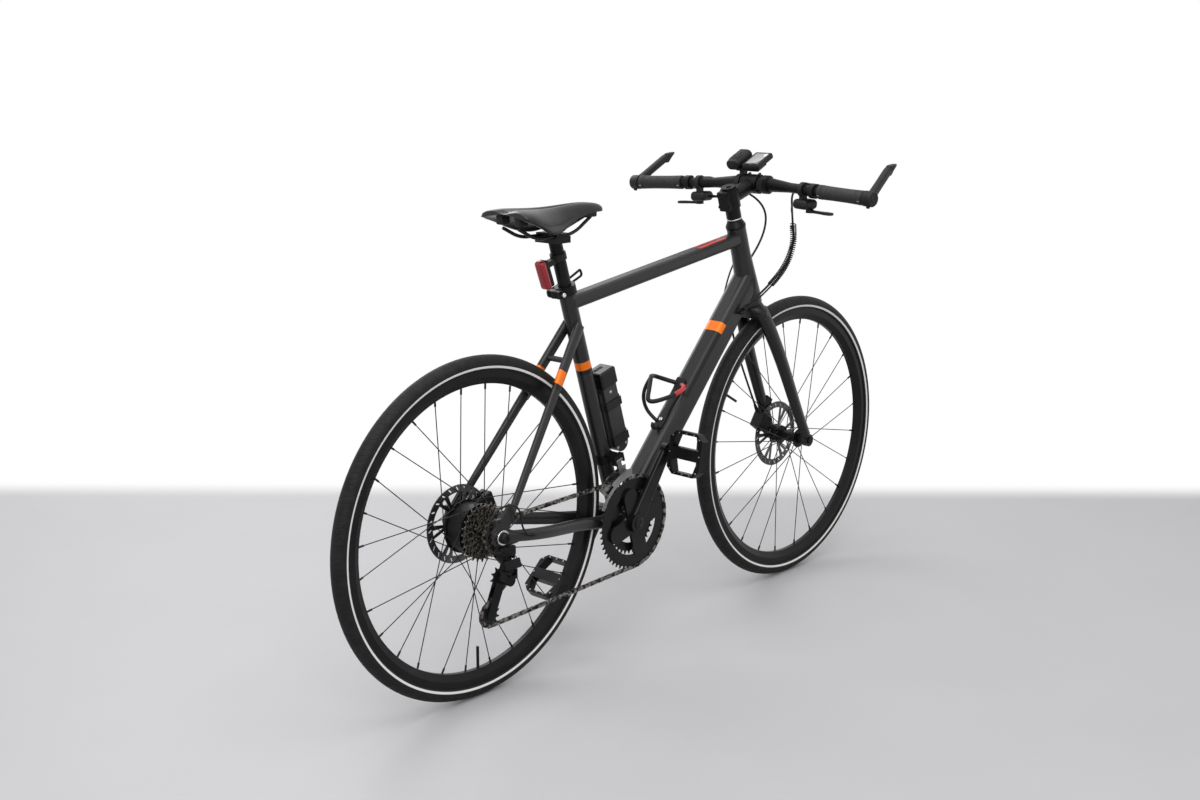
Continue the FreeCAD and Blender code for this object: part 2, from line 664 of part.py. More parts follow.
# Rear triangle
dropout_y = num("rear_old / 2 + dropout_t / 2")
stay_line = rear - crank
dropouts = []
for side, sign in (("left", 1), ("right", -1)):
    outline = [
        ("-dropout_d / 2", "-dropout_d / 4"),
        ("-dropout_d / 4", "-dropout_d / 2"),
        ("dropout_d / 2", "-dropout_d / 2"),
        ("dropout_d / 2 + 24", "-dropout_d / 2"),
        ("dropout_d / 2 + 28", "0"),
        ("dropout_d / 2", "12"),
        ("dropout_d / 2 + 22", "50"),
        ("dropout_d / 2 + 4", "62"),
        ("2", "eyelet_up + 7"),
        ("-14", "eyelet_up + 7"),
        ("-14", "eyelet_up - 8"),
        ("-dropout_d / 2", "dropout_d / 4"),
    ]
    if sign < 0:
        outline[2:3] = [("-13", "-24"), ("-11", "-33.5"), ("7", "-33.5"), ("10", "-22")]
    place = side_view(rear + left * (sign * dropout_y + num("dropout_t / 2")))
    blank = plate(f"dropout_{side}_blank", [outline], "dropout_t", place)
    reach = left * num("dropout_t")
    middle = rear + left * sign * dropout_y
    eye = middle + Vector(-6, 0, num("eyelet_up"))
    bores = [
        rod(f"dropout_{side}_bore", middle - reach, middle + reach, "axle_d / 2"),
        rod(f"eyelet_{side}", eye - reach, eye + reach, "eyelet_d / 2"),
    ]
    dropouts.append(cut(f"dropout_{side}", blank, bores))
dropout_tools = joined("dropout_tools", dropouts)

chainstays = []
for side, sign in (("left", 1), ("right", -1)):
    wires = []
    for share, aside, width, height in (
            (0.02, 24, 1.0, 1.2), (0.15, 28, 0.93, 1.1), (0.30, 31.5, 0.93, 1.05),
            (0.62, 60, 1.0, 1.0), (0.78, dropout_y, 0.85, 0.95), (0.955, dropout_y, 0.7, 0.9)):
        centre = crank + stay_line * share + left * sign * aside
        wires.append(oval(centre, stay_line, left, num("stay_w / 2") * width, num("stay_h / 2") * height))
    whole = made(f"chainstay_{side}_whole", loft(wires))
    chainstays.append(cut(f"chainstay_{side}", whole, [shell_core, seat_core, dropout_tools]))

stay_foot = rear + Vector(31, 0, 44)
stay_top = on_seat(num("seat_tube_len - seatstay_drop"))
seatstay_line = stay_top - stay_foot
seatstays = []
for side, sign in (("left", 1), ("right", -1)):
    wires = []
    for share, half_wide, half_tall in ((0, 6, 8.5), (0.5, 7.5, 10.5), (1, 8.5, 12.5)):
        aside = dropout_y + (17 - dropout_y) * share
        centre = stay_foot + seatstay_line * share + left * sign * aside
        scale = num("seatstay_d") / 15
        wires.append(oval(centre, seatstay_line, left, half_wide * scale, half_tall * scale))
    seatstays.append(made(f"seatstay_{side}_whole", loft(wires)))
bridge_mid = stay_foot + seatstay_line * 0.8
bridge = rod("stay_bridge", bridge_mid - left * 28, bridge_mid + left * 28, "6")
stays = cut("seatstays", joined("seatstays_whole", seatstays + [bridge]), [seat_core, dropout_tools])
node("rear_triangle", chainstays + [stays] + dropouts)

axle_half = num("rear_old / 2 + dropout_t")
axle = rod("rear_axle_bar", rear - left * (axle_half + 13), rear + left * (axle_half + 13), "axle_d / 2")
axle_pieces = [axle]
hexagon = []
for corner in range(6):
    turn = math.pi / 3 * corner
    hexagon.append((f"{math.cos(turn):.6f} * axle_d * 0.87", f"{math.sin(turn):.6f} * axle_d * 0.87"))
for side, sign in (("left", 1), ("right", -1)):
    face = rear + left * sign * axle_half
    axle_pieces.append(ring(f"axle_washer_{side}", face, face + left * sign * 2, "axle_d", "axle_d / 2"))
    outer = face + left * sign * 2
    blank = plate(f"axle_nut_{side}_blank", [hexagon], "8", facing(outer, left * sign))
    hole = rod(f"axle_nut_{side}_bore", outer, outer + left * sign * 8, "axle_d / 2")
    axle_pieces.append(cut(f"axle_nut_{side}", blank, [hole]))
node("rear_axle", axle_pieces)

# Fork and front axle
race = num("crown_len")
blade_top = on_steer(race - 12)
blade_line = front - blade_top
tip_y = num("front_old / 2") + 7
blade_stations = [(0.0, 26, 20, 13.5), (0.12, 35.5, 19, 13), (0.55, 49, 16.5, 11), (0.96, tip_y, 14, 9)]
stem_low = head_high + num("cup_lip + face_gap + cover_h + spacer_h")
stem_high = stem_low + num("stem_clamp_h")
crown_wires = [
    oval(on_steer(race), steer_up, left, num("head_low_d / 2") - 1, num("head_low_d / 2") - 2),
    oval(on_steer(race - num("crown_h") * 0.4), steer_up, left, 38, 24),
    oval(on_steer(race - num("crown_h")), steer_up, left, 44, 21),
]
fork_pieces = [
    made("fork_crown", loft(crown_wires)),
    rod("steerer", on_steer(race - 4), on_steer(stem_high - 3), "steerer_d / 2"),
]
for side, sign in (("left", 1), ("right", -1)):
    wires = [
        oval(blade_top + blade_line * share + left * sign * aside, blade_line, left, half_wide, half_long)
        for share, aside, half_long, half_wide in blade_stations
    ]
    fork_pieces.append(made(f"fork_blade_{side}", loft(wires)))
    inner = front + left * sign * num("front_old / 2")
    fork_pieces.append(rod(f"fork_tip_{side}", inner, inner + left * sign * 14, "15"))
fork_whole = joined("fork_whole", fork_pieces)
tip = left * (num("front_old / 2") + 20)
fork = cut("fork", fork_whole, [rod("fork_bore", front - tip, front + tip, "axle_d / 2")])
node("fork", [fork])
axle_end = num("front_old / 2") + 14
node("front_axle", [joined("front_axle", [
    rod("front_axle_bar", front - left * axle_end, front + left * axle_end, "axle_d / 2"),
    rod("front_axle_head", front + left * axle_end, front + left * (axle_end + 5), "axle_d * 0.75"),
    rod("front_axle_tip", front - left * axle_end, front - left * (axle_end + 4), "axle_d * 0.7"),
])])


# Brake calipers
def caliper(label, centre, plane_y, turn, foot_reach, base):
    """A caliper over the rotor: a slotted housing, two pads and a foot on the frame piece beside it."""
    radial = Vector(math.cos(turn), 0, math.sin(turn))
    place = facing(centre + left * plane_y, left, radial)
    housing = block(f"{label}_housing", Vector(72, 0, -1), ("42", "40", "31"), place)
    housing_round = doc.addObject("Part::Fillet", f"{label}_round")
    housing_round.Base = housing
    doc.recompute()
    housing_round.Edges = [(edge + 1, 4, 4) for edge in range(len(housing.Shape.Edges))]
    slot_w = "rotor_t + 2 * face_gap + 4"
    slot = block(f"{label}_slot", Vector(64, 0, 0), ("40", "60", slot_w), place)
    foot = block(f"{label}_foot", Vector(70, foot_reach / 2, 9), ("24", str(abs(foot_reach)), "14"), place)
    body = joined(f"{label}_whole", [housing_round, foot])
    body = cut(f"{label}_body", body, [slot, base])
    pads = []
    for side, sign in (("outer", 1), ("inner", -1)):
        middle = sign * (num("rotor_t / 2 + face_gap") + 1)
        pads.append(block(f"{label}_pad_{side}", Vector(72, 0, middle), ("14", "24", "2"), place))
    return [body] + pads


front_turn = math.radians(146)
front_reach = 66
node("front_caliper", caliper("front_caliper", front, num("front_rotor_y"), front_turn, front_reach,
                              fork_whole))
rear_base = joined("rear_caliper_base", [chainstays[0], dropouts[0], stays])
rear_turn = math.radians(23)
rear_reach = 58
node("rear_caliper", caliper("rear_caliper", rear, num("rear_rotor_y"), rear_turn, rear_reach, rear_base))

# Headset spacers, stem and handlebar
cover_low = head_high + num("cup_lip")
cover = turned("headset_cover", [
    ("steerer_d / 2", "face_gap"),
    ("head_top_d / 2 + 1", "face_gap"),
    ("spacer_d / 2", "face_gap + cover_h"),
    ("steerer_d / 2", "face_gap + cover_h"),
], facing(on_steer(cover_low), steer_up))
spacer_low = cover_low + num("face_gap + cover_h")
spacers = []
for index in range(3):
    foot = spacer_low + num("spacer_h / 3") * index
    spacers.append(ring(f"spacer_{index + 1}", on_steer(foot), on_steer(foot + num("spacer_h / 3")),
                        "spacer_d / 2", "steerer_d / 2"))
cap = rod("top_cap", on_steer(stem_high), on_steer(stem_high + 5), "spacer_d / 2")
cap_bolt = rod("top_cap_bolt", on_steer(stem_high + 5), on_steer(stem_high + 7), "5")
node("headset_spacers", [cover] + spacers + [cap, cap_bolt])

stem_mid = on_steer((stem_low + stem_high) / 2)
bar = stem_mid + steer_fore * num("stem_len")
clamp_half = 22
split = 1.5
stem_whole = joined("stem_whole", [
    rod("stem_clamp", on_steer(stem_low), on_steer(stem_high), "stem_clamp_d / 2"),
    rod("stem_body", stem_mid, bar, "stem_d / 2"),
    rod("stem_front", bar - left * clamp_half, bar + left * clamp_half, "bar_clamp_d / 2 + 6"),
    block("stem_back", Vector(-21, 0, 0), ("14", "26", "stem_clamp_h"),
          facing(stem_mid, steer_up, steer_fore)),
])
front_place = facing(bar, steer_fore, left)
bar_space = rod("bar_space", bar - left * 60, bar + left * 60, "bar_clamp_d / 2")
front_half = block("front_half", Vector(0, 0, 40 - split), ("120", "120", "80"), front_place)
steerer_space = rod("steerer_space", on_steer(stem_low - 5), on_steer(stem_high + 5), "steerer_d / 2")
stem = cut("stem_block", stem_whole, [bar_space, front_half, steerer_space])
stem_bolts = []
for index, rise in enumerate((-13, 13)):
    middle = stem_mid + steer_up * rise - steer_fore * 24
    for side, sign in (("left", 1), ("right", -1)):
        foot = middle + left * sign * 13
        stem_bolts.append(rod(f"pinch_bolt_{index + 1}_{side}", foot, foot + left * sign * 3, "4"))
node("stem", [stem] + stem_bolts)
face_ring = ring("face_ring", bar - left * clamp_half, bar + left * clamp_half, "bar_clamp_d / 2 + 6",
                 "bar_clamp_d / 2")
back_half = block("back_half", Vector(0, 0, -40 + split + 1), ("120", "120", "80"), front_place)
faceplate = cut("faceplate", face_ring, [back_half])
face_bolts = []
for aside in (-14, 14):
    for rise in (-18.5, 18.5):
        foot = bar + left * aside + steer_up * rise + steer_fore * 10
        head = rod(f"face_bolt_{len(face_bolts) + 1}_whole", foot, foot + steer_fore * 6, "3")
        face_bolts.append(cut(f"face_bolt_{len(face_bolts) + 1}", head, [faceplate]))
node("stem_faceplate", [faceplate] + face_bolts)


def bar_line(sign):
    """The start and end of a handlebar side, past its thick middle."""
    knee = bar + left * sign * num("bar_bulge")
    tip_point = bar + Vector(-num("bar_sweep"), sign * num("bar_half"), -num("bar_fall"))
    return knee, tip_point


def on_bar(sign, aside):
    """A point on the handlebar's axis, by its distance from the middle."""
    knee, tip_point = bar_line(sign)
    return knee + (tip_point - knee) * ((aside - num("bar_bulge")) / num("bar_half - bar_bulge"))


bulge = left * num("bar_bulge")
bar_pieces = [rod("bar_middle", bar - bulge, bar + bulge, "bar_clamp_d / 2")]
for side, sign in (("left", 1), ("right", -1)):
    knee, tip_point = bar_line(sign)
    along = (tip_point - knee).normalize()
    taper = doc.addObject("Part::Cone", f"bar_taper_{side}")
    taper.setExpression("Radius1", sized("bar_clamp_d / 2"))
    taper.setExpression("Radius2", sized("bar_d / 2"))
    taper.setExpression("Height", sized("bar_taper"))
    taper.Placement = facing(knee, along)
    ball = doc.addObject("Part::Sphere", f"bar_knee_{side}")
    ball.setExpression("Radius", sized("bar_clamp_d / 2"))
    ball.Placement.Base = knee
    side_rod = rod(f"bar_side_{side}", knee + along * num("bar_taper"), tip_point, "bar_d / 2")
    bar_pieces += [taper, ball, side_rod]
node("handlebar", [joined("handlebar", bar_pieces)])

# Handlebar fittings
bar_radius = "bar_d / 2"
clamp_radius = "lever_clamp_d / 2"


def bar_frame(sign, aside, dip):
    """A placement on the handlebar: X forward and dipped, Y along the bar to the left, Z up."""
    knee, tip_point = bar_line(sign)
    lengthwise = (tip_point - knee).normalize() * sign
    forward = Vector(math.cos(math.radians(dip)), 0, -math.sin(math.radians(dip)))
    forward = (forward - lengthwise * forward.dot(lengthwise)).normalize()
    return Placement(on_bar(sign, aside), Rotation(forward, lengthwise, forward.cross(lengthwise), "ZXY"))


def softened(label, base, radius):
    """A block with every edge rounded."""
    doc.recompute()
    piece = doc.addObject("Part::Fillet", label)
    piece.Base = base
    piece.Edges = [(edge + 1, radius, radius) for edge in range(len(base.Shape.Edges))]
    return piece


grips = []
bar_ends = []
brake_bodies = []
shifter_bodies = []
hose_starts = {}
cable_starts = {}
end_inner = num("bar_half - bar_end_w + 2")
grip_inner = end_inner - num("grip_len") - 0.5
brake_aside = grip_inner - num("lever_gap + lever_clamp_w / 2")
shift_aside = brake_aside - num("shift_step")
bore_reach = 40
pivot_r = "2.5"
horn_stations = [
    (0.0, 9, 10.5), (0.2, 8.7, 9.8), (0.45, 8.5, 9.5),
    (0.7, 8.5, 9.5), (0.87, 9.5, 11.5), (1.0, 8.5, 10.5),
]
blade_spots = [(36, 16, 4.5, 5), (42, 36, 5, 5.5), (49, 66, 4.5, 6), (50, 96, 4.5, 6), (53, 112, 3.5, 5)]
paddle_spots = [(14, 12, 14), (15, 38, 13), (16, 58, 22), (16, 70, 15)]
paddle_z = -47.4
for side, sign in (("left", 1), ("right", -1)):
    grips.append(ring(f"grip_{side}", on_bar(sign, grip_inner), on_bar(sign, end_inner - 0.5),
                      "grip_d / 2", bar_radius))

    outer_point = on_bar(sign, num("bar_half") + 2)
    root = on_bar(sign, num("bar_half - bar_end_w / 2") + 2)
    horn_tip = root + Vector(0.86, -0.13 * sign, 0.53).normalize() * num("bar_end_len")
    heading = horn_tip - root
    horn_wires = [
        oval(root + heading * share, heading, left, half_wide, half_tall)
        for share, half_wide, half_tall in horn_stations
    ]
    clamp_in = on_bar(sign, end_inner)
    run = outer_point - clamp_in
    sleeve = Part.makeCylinder(num("bar_end_d / 2"), run.Length, clamp_in, run)
    bar_stub = Part.makeCylinder(num(bar_radius), run.Length - 2, clamp_in, run)
    bar_ends.append(made(f"bar_end_{side}", sleeve.fuse(loft(horn_wires)).cut(bar_stub)))

    place = bar_frame(sign, brake_aside, 10)
    half_w = num("lever_clamp_w / 2")
    pivot = Vector(36, sign * 16, 0)
    ears = [
        block(f"brake_ear_{side}_{name}", Vector(34, sign * 10, height), ("18", "24", "4"), place)
        for name, height in (("top", 8.3), ("low", -8.3))
    ]
    cylinder_out = place.multVec(Vector(32, sign * 6, 0))
    cylinder_in = place.multVec(Vector(32, -sign * 58, 2))
    tank = softened(f"brake_tank_{side}", block(
        f"brake_tank_{side}_block", Vector(30, -sign * 26, 9), ("22", "40", "16"), place), 4)
    bar_hole = rod(f"brake_bore_{side}", on_bar(sign, brake_aside - bore_reach),
                   on_bar(sign, brake_aside + bore_reach), bar_radius)
    pin_low = place.multVec(pivot + Vector(0, 0, -11))
    pin_high = place.multVec(pivot + Vector(0, 0, 11))
    brake_whole = joined(f"brake_body_{side}_whole", ears + [
        rod(f"brake_clamp_{side}", on_bar(sign, brake_aside - half_w), on_bar(sign, brake_aside + half_w),
            clamp_radius),
        block(f"brake_arm_{side}", Vector(20, 0, 0), ("22", "13", "14"), place),
        rod(f"brake_cylinder_{side}", cylinder_in, cylinder_out, "10"),
        tank,
        rod(f"brake_pin_{side}", pin_low, pin_high, pivot_r),
    ])
    brake_bodies.append(cut(f"brake_body_{side}", brake_whole, [bar_hole]))
    inward = place.Rotation.multVec(Vector(0, -sign, 0))
    hose_starts[side] = (cylinder_in + inward * 0.4, inward)

    blade_wires = []
    for forward, aside, half_wide, half_tall in blade_spots:
        centre = place.multVec(Vector(forward, sign * aside, 0))
        blade_wires.append(oval(centre, place.Rotation.multVec(Vector(0.12, sign, 0)),
                                place.Rotation.multVec(Vector(1, 0, 0)), half_wide, half_tall))
    lever_whole = joined(f"brake_lever_{side}_whole", [
        rod(f"brake_barrel_{side}", place.multVec(pivot - Vector(0, 0, 6)),
            place.multVec(pivot + Vector(0, 0, 6)), "6"),
        made(f"brake_blade_{side}", loft(blade_wires)),
    ])
    lever_hole = rod(f"brake_lever_hole_{side}", pin_low, pin_high, pivot_r + " + run_gap")
    node(f"brake_lever_{side}", [cut(f"brake_lever_{side}", lever_whole, [lever_hole])])

    place = bar_frame(sign, shift_aside, 0)
    housing = softened(f"shifter_housing_{side}", block(
        f"shifter_block_{side}", Vector(8, 0, -32), ("46", "40", "22"), place), 9)
    pivot = Vector(14, sign * 10, -43)
    pin_top = place.multVec(pivot + Vector(0, 0, 4))
    pin_end = place.multVec(pivot - Vector(0, 0, 8.5))
    shifter_whole = joined(f"shifter_{side}_whole", [
        housing,
        block(f"shifter_neck_{side}", Vector(0, 0, -16), ("16", "10", "16"), place),
        rod(f"shifter_clamp_{side}", on_bar(sign, shift_aside - 5), on_bar(sign, shift_aside + 5),
            clamp_radius),
        rod(f"shifter_pin_{side}", pin_top, pin_end, "3"),
    ])
    shifter_bodies.append(cut(f"shifter_{side}", shifter_whole, [
        rod(f"shifter_bore_{side}", on_bar(sign, shift_aside - bore_reach),
            on_bar(sign, shift_aside + bore_reach), bar_radius)]))
    inward = place.Rotation.multVec(Vector(0, -sign, 0))
    cable_starts[side] = (place.multVec(Vector(16, -sign * 20.1, -33)), inward)
    forth = place.Rotation.multVec(Vector(1, 0, 0))
    upright = place.Rotation.multVec(Vector(0, 0, 1))
    paddle = [
        rounded(place.multVec(Vector(forward, sign * aside, paddle_z)), forth, upright, wide, 6, 2.4)
        for forward, aside, wide in paddle_spots
    ]
    lever_whole = joined(f"shift_lever_{side}_whole", [
        rod(f"shift_barrel_{side}", place.multVec(pivot - Vector(0, 0, 8)),
            place.multVec(pivot - Vector(0, 0, 0.3)), "9"),
        made(f"shift_paddle_{side}", loft(paddle, True)),
    ])
    node(f"shift_lever_{side}", [cut(f"shift_lever_{side}", lever_whole, [
        rod(f"shift_lever_hole_{side}", pin_top, pin_end - (pin_top - pin_end) * 0.1, "3 + run_gap")])])
node("grips", grips)
node("bar_ends", bar_ends)
node("brake_lever_bodies", brake_bodies)
node("shifter_bodies", shifter_bodies)

# Bike computer, its mount and the front light
deck_tilt = math.radians(26)
deck_up = Vector(-math.sin(deck_tilt), 0, math.cos(deck_tilt))
deck = facing(bar + Vector(17, 0, 40), deck_up)
mount_y = 33
mount_foot = bar + left * mount_y
mount_whole = joined("computer_mount_whole", [
    rod("mount_clamp", mount_foot - left * 6, mount_foot + left * 6, "bar_clamp_d / 2 + 5"),
    block("mount_post", mount_foot + Vector(8, 0, 20), ("14", "12", "30")),
    block("mount_deck", Vector(-6, 14, 0), ("34", "62", "5"), deck),
])
mount = cut("computer_mount_arm", mount_whole, [bar_space])
knob_foot = bar - left * 40
knob_whole = joined("lamp_clamp_whole", [
    rod("lamp_clamp_ring", knob_foot - left * 7, knob_foot + left * 7, "bar_clamp_d / 2 + 5"),
    block("lamp_clamp_block", knob_foot + Vector(-22, 0, 0), ("16", "14", "20")),
    rod("lamp_clamp_knob", knob_foot + Vector(-22, 0, 10), knob_foot + Vector(-22, 0, 15), "6"),
])
node("computer_mount", [mount, cut("lamp_clamp", knob_whole, [bar_space])])
computer_centre = Vector(4, 0, 2.5 + num("computer_t / 2"))
node("computer", [softened("computer", block(
    "computer_block", computer_centre, ("computer_len", "computer_w", "computer_t"), deck), 4)])
node("headlight", [softened("headlight", block(
    "headlight_block", Vector(-2, 36 + num("computer_w / 4"), 2.5 + 13), ("58", "40", "26"), deck), 8)])

# Brake hoses and shift cables
port_right = ports[0].Placement.Base + ports[0].Placement.Rotation.multVec(Vector(0, 0, 6))
port_left = ports[1].Placement.Base + ports[1].Placement.Rotation.multVec(Vector(0, 0, 6))
hose_r = num("hose_d / 2")
cable_r = num("cable_d / 2")


def led_out(start, heading, distance):
    """Where a cord is after its first straight run."""
    return start + heading * distance


rear_hose_start, rear_hose_out = hose_starts["right"]
front_hose_start, front_hose_out = hose_starts["left"]
rear_cable_start, rear_cable_out = cable_starts["right"]
front_cable_start, front_cable_out = cable_starts["left"]
caliper_top = front + Vector(-66, num("front_rotor_y") + 8, 68)
cords = [
    ("rear_brake_hose", hose_r, [
        rear_hose_start, led_out(rear_hose_start, rear_hose_out, 35), Vector(430, -52, 900),
        Vector(436, -58, 820), Vector(376, -50, 756), port_right + Vector(5, -hose_r - 0.1, 5)]),
    ("rear_shift_cable", cable_r, [
        rear_cable_start, led_out(rear_cable_start, rear_cable_out, 30), Vector(412, -68, 880),
        Vector(418, -70, 812), Vector(352, -64, 730), port_right + Vector(-4, -cable_r - 0.1, -5)]),
    ("front_brake_hose", hose_r, [
        front_hose_start, led_out(front_hose_start, front_hose_out, 35), Vector(446, 34, 915),
        Vector(440, 30, 840), Vector(362, 52, 742), Vector(350, 63, 640), Vector(418, 63, 500), caliper_top]),
    ("front_shift_cable", cable_r, [
        front_cable_start, led_out(front_cable_start, front_cable_out, 30), Vector(398, 64, 885),
        Vector(390, 60, 810), Vector(330, 52, 760), port_left + Vector(0, cable_r + 0.1, 0)]),
]
cord_pieces = [made(name, routed(points, radius, name)) for name, radius, points in cords]
node("control_cables", cord_pieces)

# Drive train: the chain's path round ring, sprocket and pulleys, seen from the right
pitch = num("chain_pitch")
cog_teeth = [28, 25, 23, 21, 19, 17, 15, 14, 13, 12, 11]
cog_used = 8


def pitch_radius(teeth):
    """Radius on which chain rollers sit."""
    return pitch / (2 * math.sin(math.pi / teeth))


ring_y = -num("big_ring_y")
cog_y = -num("cog_inner_y") - cog_used * num("cog_step")
guide = rear + Vector(num("guide_x"), cog_y, -num("guide_drop"))


def chain_path(cage_turn):
    """Straight and round stretches of the chain, as points by length, and the total length."""
    tension = guide + Vector(math.cos(cage_turn), 0, math.sin(cage_turn)) * num("cage_len")
    circles = [
        (crank, pitch_radius(num("big_ring_teeth")), 1),
        (rear, pitch_radius(cog_teeth[cog_used]), 1),
        (guide, pitch_radius(num("pulley_teeth")), -1),
        (tension, pitch_radius(num("pulley_teeth")), 1),
    ]
    spans = []
    for index, (centre, radius, way) in enumerate(circles):
        target, far_radius, far_way = circles[(index + 1) % 4]
        gap_x = target.x - centre.x
        gap_z = target.z - centre.z
        offset = way * radius - far_way * far_radius
        run = math.sqrt(gap_x ** 2 + gap_z ** 2 - offset ** 2)
        heading = math.atan2(gap_z, gap_x) + math.atan2(offset, run)
        normal = (math.sin(heading), -math.cos(heading))
        leave = (centre.x + way * radius * normal[0], centre.z + way * radius * normal[1])
        arrive = (target.x + far_way * far_radius * normal[0], target.z + far_way * far_radius * normal[1])
        spans.append((leave, arrive, run))
    stretches = []
    for index in range(4):
        leave, arrive, run = spans[index]
        stretches.append(("line", run, leave, arrive))
        centre, radius, way = circles[(index + 1) % 4]
        onward = spans[(index + 1) % 4][0]
        start = math.atan2(arrive[1] - centre.z, arrive[0] - centre.x)
        end = math.atan2(onward[1] - centre.z, onward[0] - centre.x)
        sweep = (way * (end - start)) % (2 * math.pi)
        stretches.append(("arc", radius * sweep, centre, radius, start, way))
    return stretches, sum(stretch[1] for stretch in stretches), tension


def path_point(stretches, total, length):
    """The point of the path at a length from its start."""
    length %= total
    for stretch in stretches:
        if length <= stretch[1]:
            break
        length -= stretch[1]
    if stretch[0] == "line":
        share = length / stretch[1]
        return tuple(a + (b - a) * share for a, b in zip(stretch[2], stretch[3]))
    _, _, centre, radius, start, way = stretch
    turn = start + way * length / radius
    return centre.x + radius * math.cos(turn), centre.z + radius * math.sin(turn)


def walk(cage_turn, links):
    """Roller lengths along the path, a pitch apart, and what is left over after the last link."""
    stretches, total, tension = chain_path(cage_turn)
    lengths = [0.0]
    for _ in range(links):
        here = path_point(stretches, total, lengths[-1])
        step = lengths[-1] + pitch
        for _ in range(8):
            there = path_point(stretches, total, step)
            step += pitch - math.dist(here, there)
        lengths.append(step)
    return lengths, lengths[-1] - total, tension


cage_low = math.radians(-150)
cage_high = math.radians(-85)
links = 2 * round(chain_path(math.radians(-116))[1] / pitch / 2)
for _ in range(40):
    cage_turn = (cage_low + cage_high) / 2
    if (walk(cage_turn, links)[1] > 0) == (walk(cage_low, links)[1] > 0):
        cage_low = cage_turn
    else:
        cage_high = cage_turn
lengths, left_over, tension = walk(cage_turn, links)
stretches, total, _ = chain_path(cage_turn)
print(f"chain: {links} links, left over {left_over:.4f}, cage at {math.degrees(cage_turn):.1f} degrees")

rollers = [path_point(stretches, total, length) for length in lengths[:-1]]
marks = []
for stretch in stretches:
    marks.append((marks[-1] if marks else 0) + stretch[1])


def side_of_path(length):
    """Sideways place of the chain at a length along its path."""
    if length <= marks[0]:
        share = length / marks[0]
    elif length <= marks[5]:
        share = 1
    else:
        share = max(0, 1 - (length - marks[5]) / (marks[6] - marks[5]))
    share = min(max((share - 0.12) / 0.76, 0), 1)
    return ring_y + (cog_y - ring_y) * share


def phase(centre, stretch_index):
    """Angle of a roller that sits on one of the round stretches."""
    start = marks[stretch_index - 1]
    for length, roller in zip(lengths, rollers):
        if start + 0.5 <= length <= marks[stretch_index] - 0.5:
            return math.atan2(roller[1] - centre.z, roller[0] - centre.x)
    return 0.0


def slab(start, end, radius, thickness):
    """A flat plate with round ends about two points, as a solid with its base on z = 0."""
    along = Vector(end - start).normalize()
    across = Vector(-along.y, along.x, 0) * radius
    cap = along * radius
    edges = [
        Part.LineSegment(start + across, end + across).toShape(),
        Part.Arc(end + across, end + cap, end - across).toShape(),
        Part.LineSegment(end - across, start - across).toShape(),
        Part.Arc(start - across, start - cap, start + across).toShape(),
    ]
    return Part.Face(Part.Wire(edges)).extrude(Vector(0, 0, thickness))


def sprocket(teeth, turn, thickness, hole):
    """A toothed plate with rollers seated in its roots, centred on z = 0."""
    radius = pitch_radius(teeth)
    root = num("roller_d / 2") + 0.12
    base = Vector(0, 0, -thickness / 2)
    edges = []
    corners = []
    for index in range(teeth):
        angle = turn + 2 * math.pi * index / teeth
        outward = Vector(math.cos(angle), math.sin(angle), 0)
        around = Vector(-outward.y, outward.x, 0)
        seat = outward * radius + base
        reach = math.radians(70)
        start = seat - around * root * math.sin(reach) - outward * root * math.cos(reach)
        end = seat + around * root * math.sin(reach) - outward * root * math.cos(reach)
        tip_angle = angle + math.pi / teeth
        tip_out = Vector(math.cos(tip_angle), math.sin(tip_angle), 0)
        tip_around = Vector(-tip_out.y, tip_out.x, 0)
        tip_mid = tip_out * (radius + 3.2) + base
        corners.append((start, seat - outward * root, end, tip_mid - tip_around, tip_mid + tip_around))
    for index, (start, middle, end, tip_in, tip_out) in enumerate(corners):
        edges.append(Part.Arc(start, middle, end).toShape())
        edges.append(Part.LineSegment(end, tip_in).toShape())
        edges.append(Part.LineSegment(tip_in, tip_out).toShape())
        edges.append(Part.LineSegment(tip_out, corners[(index + 1) % teeth][0]).toShape())
    face = Part.Face(Part.Wire(edges))
    plate_shape = face.extrude(Vector(0, 0, thickness))
    if hole:
        plate_shape = plate_shape.cut(Part.makeCylinder(hole, 2 * thickness, Vector(0, 0, -thickness)))
    return plate_shape


# Chain links: inner links with their rollers, outer links with their pins
pin_r = 1.8
inner_face = 0.95
link_t = 0.75
flat = Vector(pitch, 0, 0)
inner_plates = []
outer_plates = []
for sign in (1, -1):
    low = inner_face if sign > 0 else -inner_face - link_t
    shape = slab(Vector(), flat, 4.1, link_t)
    shape.translate(Vector(0, 0, low))
    inner_plates.append(shape)
    low = inner_face + link_t + 0.1 if sign > 0 else -inner_face - 2 * link_t - 0.1
    shape = slab(Vector(), flat, 3.9, link_t)
    shape.translate(Vector(0, 0, low))
    outer_plates.append(shape)
half_pin = inner_face + 2 * link_t + 0.15
barrels = []
holes = []
pins = []
for end in (Vector(), flat):
    barrels.append(Part.makeCylinder(num("roller_d / 2"), 2 * inner_face, end - Vector(0, 0, inner_face)))
    holes.append(Part.makeCylinder(pin_r + num("run_gap"), 20, end - Vector(0, 0, 10)))
    pins.append(Part.makeCylinder(pin_r, 2 * half_pin, end - Vector(0, 0, half_pin)))
inner_link = inner_plates[0].fuse(inner_plates[1:] + barrels).cut(holes)
outer_link = outer_plates[0].fuse(outer_plates[1:] + pins)
chain_links = []
for index in range(links):
    following = (index + 1) % links
    here = Vector(rollers[index][0], side_of_path(lengths[index]), rollers[index][1])
    ahead = Vector(rollers[following][0], side_of_path(lengths[following]), rollers[following][1])
    link = (inner_link if index % 2 else outer_link).copy()
    along = (ahead - here).normalize()
    upright = (left * -1).cross(along).normalize()
    link.Placement = Placement(here, Rotation(along, upright, along.cross(upright), "XZY"))
    chain_links.append(link)
node("chain", [made("chain", Part.makeCompound(chain_links))])

